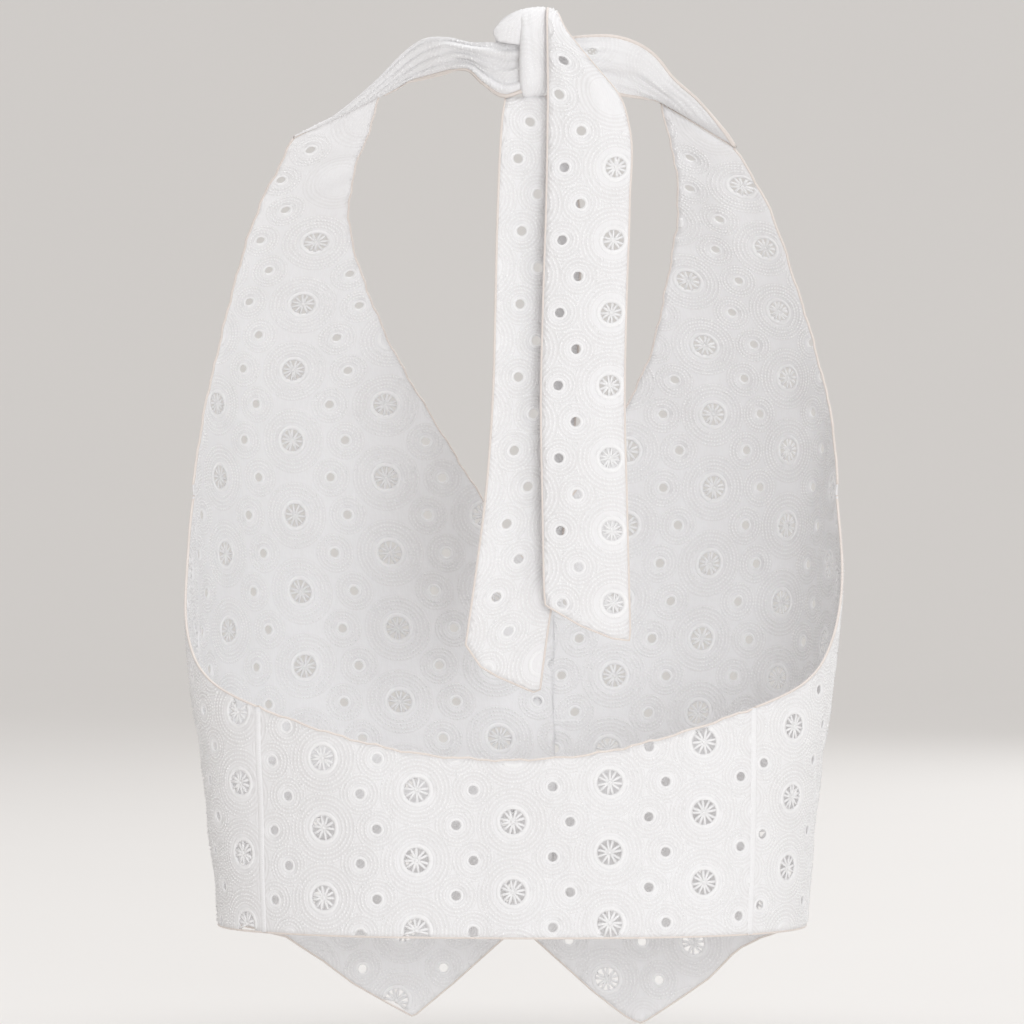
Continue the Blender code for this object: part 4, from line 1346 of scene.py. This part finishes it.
def rolled(share, along):
    """A round roll with two soft creases along it."""
    off = np.where(share > -0.25, (share + 0.25) / 1.25, (share + 0.25) / 0.75)
    round_side = np.sqrt(np.clip(1.0 - off * off, 0.0, 1.0))
    swing = 0.30 * np.sin(along * 75.0)
    creases = 0.16 * np.exp(-(((share + 0.25 - swing) / 0.13) ** 2))
    creases = creases + 0.12 * np.exp(-(((share - 0.42 - swing) / 0.11) ** 2))
    return round_side - creases - 0.04 * np.sin(along * 190.0 + 3.0 * share)


def bowed(share, along):
    """A slight bow across the end, with gathers that fan out below the knot."""
    fan = np.sin(7.5 * share - 14.0 * along) + 0.6 * np.sin(15.0 * share + 1.0 + 22.0 * along)
    bow = 1.0 - share * share + 0.05 * np.sin(share * 5.0 + along * 90.0)
    return bow + 0.30 * fan * (1 - step_up(along, 0.030, 0.100))


for node, stations, half, ripple, root in (
    ("strap_left", STRAP_LEFT, STRAP_HALVES[0], left_folds, ridge_root(-1, 1)),
    ("strap_right", STRAP_RIGHT, STRAP_HALVES[1], right_folds, ridge_root(1, 2)),
    ("knot_wrap", KNOT_WRAP, 0.0085, rolled, None),
):
    wrap, length, width = strip_worn(stations, half, ripple, root)
    outline = np.array([(-half, 0.0), (half, 0.0), (half, length), (-half, length)])
    line = walk(outline, 0.004)
    eyelets = lattice(REPEAT[node], line)
    lone = STRAP_EYELETS.get(node, ())
    cloth(node, outline, [ring(*spot, *CUT[0]) for spot in lone], wrap, 0.0016)
    TRIMS[node] = embroider(node, eyelets, line, wrap, gathered=True)
    if lone:
        radius, wide, high, count = RIM[0]
        rims = [tube(ring(*spot, radius, count), wide, high, 6, True) for spot in lone]
        TRIMS[node].append(tubes("rims_" + node, rims, wrap, SATIN))
    if node != "knot_wrap":
        edges = [outline[[3, 0, 1]]] if node == "strap_left" else [outline[[3, 0, 1]], outline[1:3]]
        TRIMS[node].append(turned_edges(node, edges, wrap, 0.00115, 0.00125))


# %% Lobe of the knot
# lower edge, upper edge, fullness, from the left tip to where the roll covers it, in millimetres
KNOT_LOBE = (
    (-5.2, -79.6, 232.4, -5.0, -79.6, 234.0, 0.0),
    (-3.6, -81.2, 229.4, -3.0, -80.8, 236.4, 0.4),
    (0.5, -83.0, 227.8, 1.0, -82.0, 239.8, 0.9),
    (5.0, -83.8, 227.0, 5.0, -82.8, 242.2, 1.1),
    (9.5, -84.0, 226.4, 9.5, -83.0, 243.6, 1.0),
    (13.0, -82.5, 226.4, 13.0, -81.5, 243.4, 0.8),
)


def puffed(share, along):
    return -(1.0 - share * share) - 0.35 * np.exp(-(((share - 0.35 + along * 20.0) / 0.16) ** 2))


wrap, length, width = strip_worn(KNOT_LOBE, None, puffed)
rise = np.linspace(0.0, length - 0.0002, 12)
half = width(rise)
outline = np.vstack([np.column_stack([half, rise]), np.column_stack([-half, rise])[::-1]])
flat, faces = triangulated(walk(outline, 0.0014), [], 0.0014)
LOBE_REPEAT = (0.0, 0.0470, 0.0090, 0.0400, 0.0)
LOBE = laid("cloth_knot_lobe", flat, faces, wrap, COTTON["knot_wrap"])
eyelets = lattice(LOBE_REPEAT, outline)
LOBE_TRIMS = embroider("knot_lobe", eyelets, outline, wrap, gathered=True)


# %% Hanging ends
def tail_outline(width, end):
    rise = np.arange(0.0, end[0][1] - 0.004, 0.0050)
    half = width(rise)
    right = np.column_stack([half, rise])
    left = np.column_stack([-half, rise])[rise < end[-1][1] - 0.004]
    return np.vstack([right, end, left[::-1]])


for node, stations, drops in (
    ("tail_right", TAIL_RIGHT, ((0.0200, 0.0020), (0.0120, 0.0030), (-0.0030, 0.0090), (-0.0200, 0.0190))),
    (
        "tail_left",
        TAIL_LEFT,
        ((0.0200, 0.0010), (0.0170, 0.0), (-0.0020, 0.0100), (-0.0110, 0.0160), (-0.0200, 0.0280)),
    ),
):
    wrap, length, width = strip_worn(stations, None, bowed)
    outline = tail_outline(width, [(x, length - drop) for x, drop in drops])
    line = walk(outline, 0.004)
    eyelets = lattice(REPEAT[node], line, WITHOUT.get(node, ()))
    cloth(node, outline, cut_loops(node, eyelets, line), wrap)
    TRIMS[node] = embroider(node, eyelets, line, wrap)
    TRIMS[node].append(turned_edges(node, [outline], wrap))

# %% [markdown]
# ## Buttons
# The fronts close with three small turned buttons. A button is a profile spun round its axis: a flat back,
# a rounded rim and a shallow well, over which it is sewn on with a cross of thread.

# %% Turned buttons
BUTTON_X = 0.0125
# radius, height above the button's middle
BUTTON_PROFILE = (
    (0.0000, -0.0013),
    (0.0070, -0.0013),
    (0.0086, -0.0006),
    (0.0089, 0.0002),
    (0.0084, 0.0012),
    (0.0076, 0.0015),
    (0.0068, 0.0013),
    (0.0060, 0.0006),
    (0.0000, 0.0005),
)
BAR_REACH = 0.0009  # of the cross, from the middle to each side
BAR_GAP = 0.00035  # between the threads of a bar
BAR_RISE = (0.0003, 0.0011, 0.0003)
THREAD_RADIUS = 0.00022


def placed_mesh(name, shape, spin, middle, coat):
    """A finished bmesh, turned and moved to the button's place."""
    bmesh.ops.recalc_face_normals(shape, faces=shape.faces)
    for vert in shape.verts:
        vert.co = spin @ vert.co + Vector(middle)
    mesh = bpy.data.meshes.new(name)
    shape.to_mesh(mesh)
    shape.free()
    mesh.shade_smooth()
    return keep(name, mesh, coat)


def turned_button():
    shape = bmesh.new()
    spots = [shape.verts.new((r, 0.0, z)) for r, z in BUTTON_PROFILE]
    edges = [shape.edges.new(pair) for pair in zip(spots, spots[1:])]
    bmesh.ops.spin(
        shape, geom=spots + edges, cent=(0, 0, 0), axis=(0, 0, 1), angle=2 * math.pi, steps=32, use_merge=True
    )
    bmesh.ops.remove_doubles(shape, verts=shape.verts, dist=1e-6)
    return shape


def thread_cross():
    """Two bars of three threads each, arched over the well."""
    shape = bmesh.new()
    for side in (-1, 1):
        start = np.array((-1, side)) * BAR_REACH
        way = -start / np.linalg.norm(start)
        beside = np.array((way[1], -way[0]))
        for k in (-1, 0, 1):
            rings = []
            for place, lift in zip((start, 0 * start, -start), BAR_RISE):
                loop = []
                for a in np.arange(6) * math.pi / 3:
                    spot = place + beside * (k * BAR_GAP + THREAD_RADIUS * math.cos(a))
                    loop.append(shape.verts.new((*spot, lift + THREAD_RADIUS * math.sin(a))))
                rings.append(loop)
            for a, b in zip(rings, rings[1:]):
                for t in range(6):
                    shape.faces.new((a[t], a[(t + 1) % 6], b[(t + 1) % 6], b[t]))
            shape.faces.new(rings[0])
            shape.faces.new(list(reversed(rings[-1])))
    return shape


for node in ("button_top", "button_middle", "button_bottom"):
    low, high = (np.array(corner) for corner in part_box(node))
    middle = (low + high) / 2
    axis = Vector(outward(np.array([BUTTON_X]), np.array([middle[2] + NAPE[2]]))[0])
    spin = axis.to_track_quat("Z", "Y").to_matrix()
    PIECES[node] = placed_mesh("turned_" + node, turned_button(), spin, middle, SHELL)
    TRIMS[node] = [placed_mesh("thread_" + node, thread_cross(), spin, middle, SATIN)]
print("buttons:", 3)

# %% [markdown]
# ## Pieces on the rigid body
# Each piece rides on the one rigid body and stands in for its solid.

# %% Pieces on the body
HELD = {
    "front_left": ("hung", ["cloth_strap_left"]),
    "front_right": ("hung", ["cloth_strap_right"]),
    "side_left": ("hung", ["cloth_front_left"]),
    "side_right": ("hung", ["cloth_front_right"]),
    "back_band": ("stretched", ["cloth_side_left", "cloth_side_right"]),
    "strap_left": ("gathered", ["cloth_knot_wrap"]),
    "strap_right": ("gathered", ["cloth_knot_wrap"]),
    "knot_wrap": ("folded", ["cloth_strap_left"]),
    "tail_right": ("hung", ["cloth_knot_wrap"]),
    "tail_left": ("hung", ["cloth_knot_wrap"]),
}
for node, piece in PIECES.items():
    is_cloth = node in HELD
    for part in [piece, *TRIMS[node]]:
        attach(part, "root")
    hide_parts(node)
    if is_cloth:
        area, (wide, long) = AREAS[node]
for part in (LOBE, *LOBE_TRIMS):
    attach(part, "root")
total = sum(len(p.data.loop_triangles) or len(p.data.polygons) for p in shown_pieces() if p.type == "MESH")
print("pieces:", len(PIECES), "trims:", sum(len(t) for t in TRIMS.values()), "faces:", total)

# %% [markdown]
# ## Room, light and camera
# The photograph is high key and shadowless, with the garment as pale as its ground. A pale grey floor that
# runs up into the backdrop lets the white cloth and its cut holes read. Broad soft lights stand beside the
# camera and further to the right, one hangs overhead, one stands on the far side, and the world fills in the
# rest. The camera is level with the bust, 2.5 m behind the wearer and turned by 2.7 degrees.

# %% Floor and backdrop
GROUND = (0.560, 0.548, 0.536)
GROUND_GLOW = 0.45
FLOOR = CAD_BOX[0][2] - 0.004
FLOOR_REACH = 14.0  # to both sides, and behind the camera
FLOOR_END = 4.6
BEND = 1.5  # radius between floor and backdrop
WALL_TOP = 6.0


def sweep():
    """Floor and backdrop in one curved sheet."""
    line = [(-FLOOR_REACH, 0.0), (FLOOR_END, 0.0)]
    for k in range(1, 13):
        a = math.radians(90 * k / 12)
        line.append((FLOOR_END + BEND * math.sin(a), BEND - BEND * math.cos(a)))
    line.append((FLOOR_END + BEND, WALL_TOP))
    mesh = bpy.data.meshes.new("sweep")
    spots = [(x, y, FLOOR + z) for y, z in line for x in (-FLOOR_REACH, FLOOR_REACH)]
    quads = [(2 * k, 2 * k + 1, 2 * k + 3, 2 * k + 2) for k in range(len(line) - 1)]
    mesh.from_pydata(spots, [], quads)
    mesh.shade_smooth()
    made, tree, shader = finish("pale_paper", 0.9, 0.0)
    place = tree.nodes.new("ShaderNodeTexCoord")
    grain = noise_node(tree, place.outputs["Object"], 3.0, 2.0)
    tone = mixed(tree, grain, GROUND, tuple(v * 0.985 for v in GROUND))
    for label in ("Base Color", "Emission Color"):
        tree.links.new(tone, shader[label])
    shader["Emission Strength"].default_value = GROUND_GLOW
    return keep("sweep", mesh, made)


sweep()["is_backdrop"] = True


AIM = tuple(-float(v) for v in NAPE)  # the middle of the torso
LAMP_COLOUR = (0.955, 0.978, 1.0)
# place, size, watts
LAMPS = {
    "key": ((0.75, -2.7, -0.05), 1.0, 26.0),
    "side": ((1.7, -1.9, 0.3), 1.2, 3.0),
    "top": ((0.0, 0.2, 2.1), 2.0, 30.0),
    "front": ((1.3, 2.6, 0.9), 1.4, 18.0),
}
for name, (place, size, power) in LAMPS.items():
    lamp = bpy.data.lights.new(name, "AREA")
    lamp.shape = "RECTANGLE"
    lamp.size = lamp.size_y = size
    lamp.energy = power
    lamp.color = LAMP_COLOUR
    made = bpy.data.objects.new(name, lamp)
    made.location = place
    made.rotation_euler = (Vector(AIM) - Vector(place)).to_track_quat("-Z", "Y").to_euler()
    bpy.context.scene.collection.objects.link(made)
world = bpy.data.worlds.new("studio")
world.use_nodes = True
sky = world.node_tree.nodes["Background"].inputs
sky["Color"].default_value = (1.0, 0.966, 0.938, 1.0)
sky["Strength"].default_value = 0.62
bpy.context.scene.world = world

# %% Camera
CAMERA_TURN = math.radians(2.7)
DISTANCE = 2.5
FRAME_WIDTH = 1024 * 0.000502  # metres across the picture at the middle of the torso
camera = bpy.data.cameras.new("camera")
camera.sensor_width = 36.0
camera.lens = 36.0 * DISTANCE / FRAME_WIDTH
holder = bpy.data.objects.new("camera", camera)
holder.location = (
    AIM[0] + DISTANCE * math.sin(CAMERA_TURN),
    AIM[1] - DISTANCE * math.cos(CAMERA_TURN),
    AIM[2],
)
holder.rotation_euler = (math.pi / 2, 0.0, CAMERA_TURN)
bpy.context.scene.collection.objects.link(holder)
bpy.context.scene.camera = holder
bpy.context.scene.view_settings.view_transform = "Standard"
bpy.context.scene.view_settings.look = "None"
print("camera:", [round(v, 3) for v in holder.location])
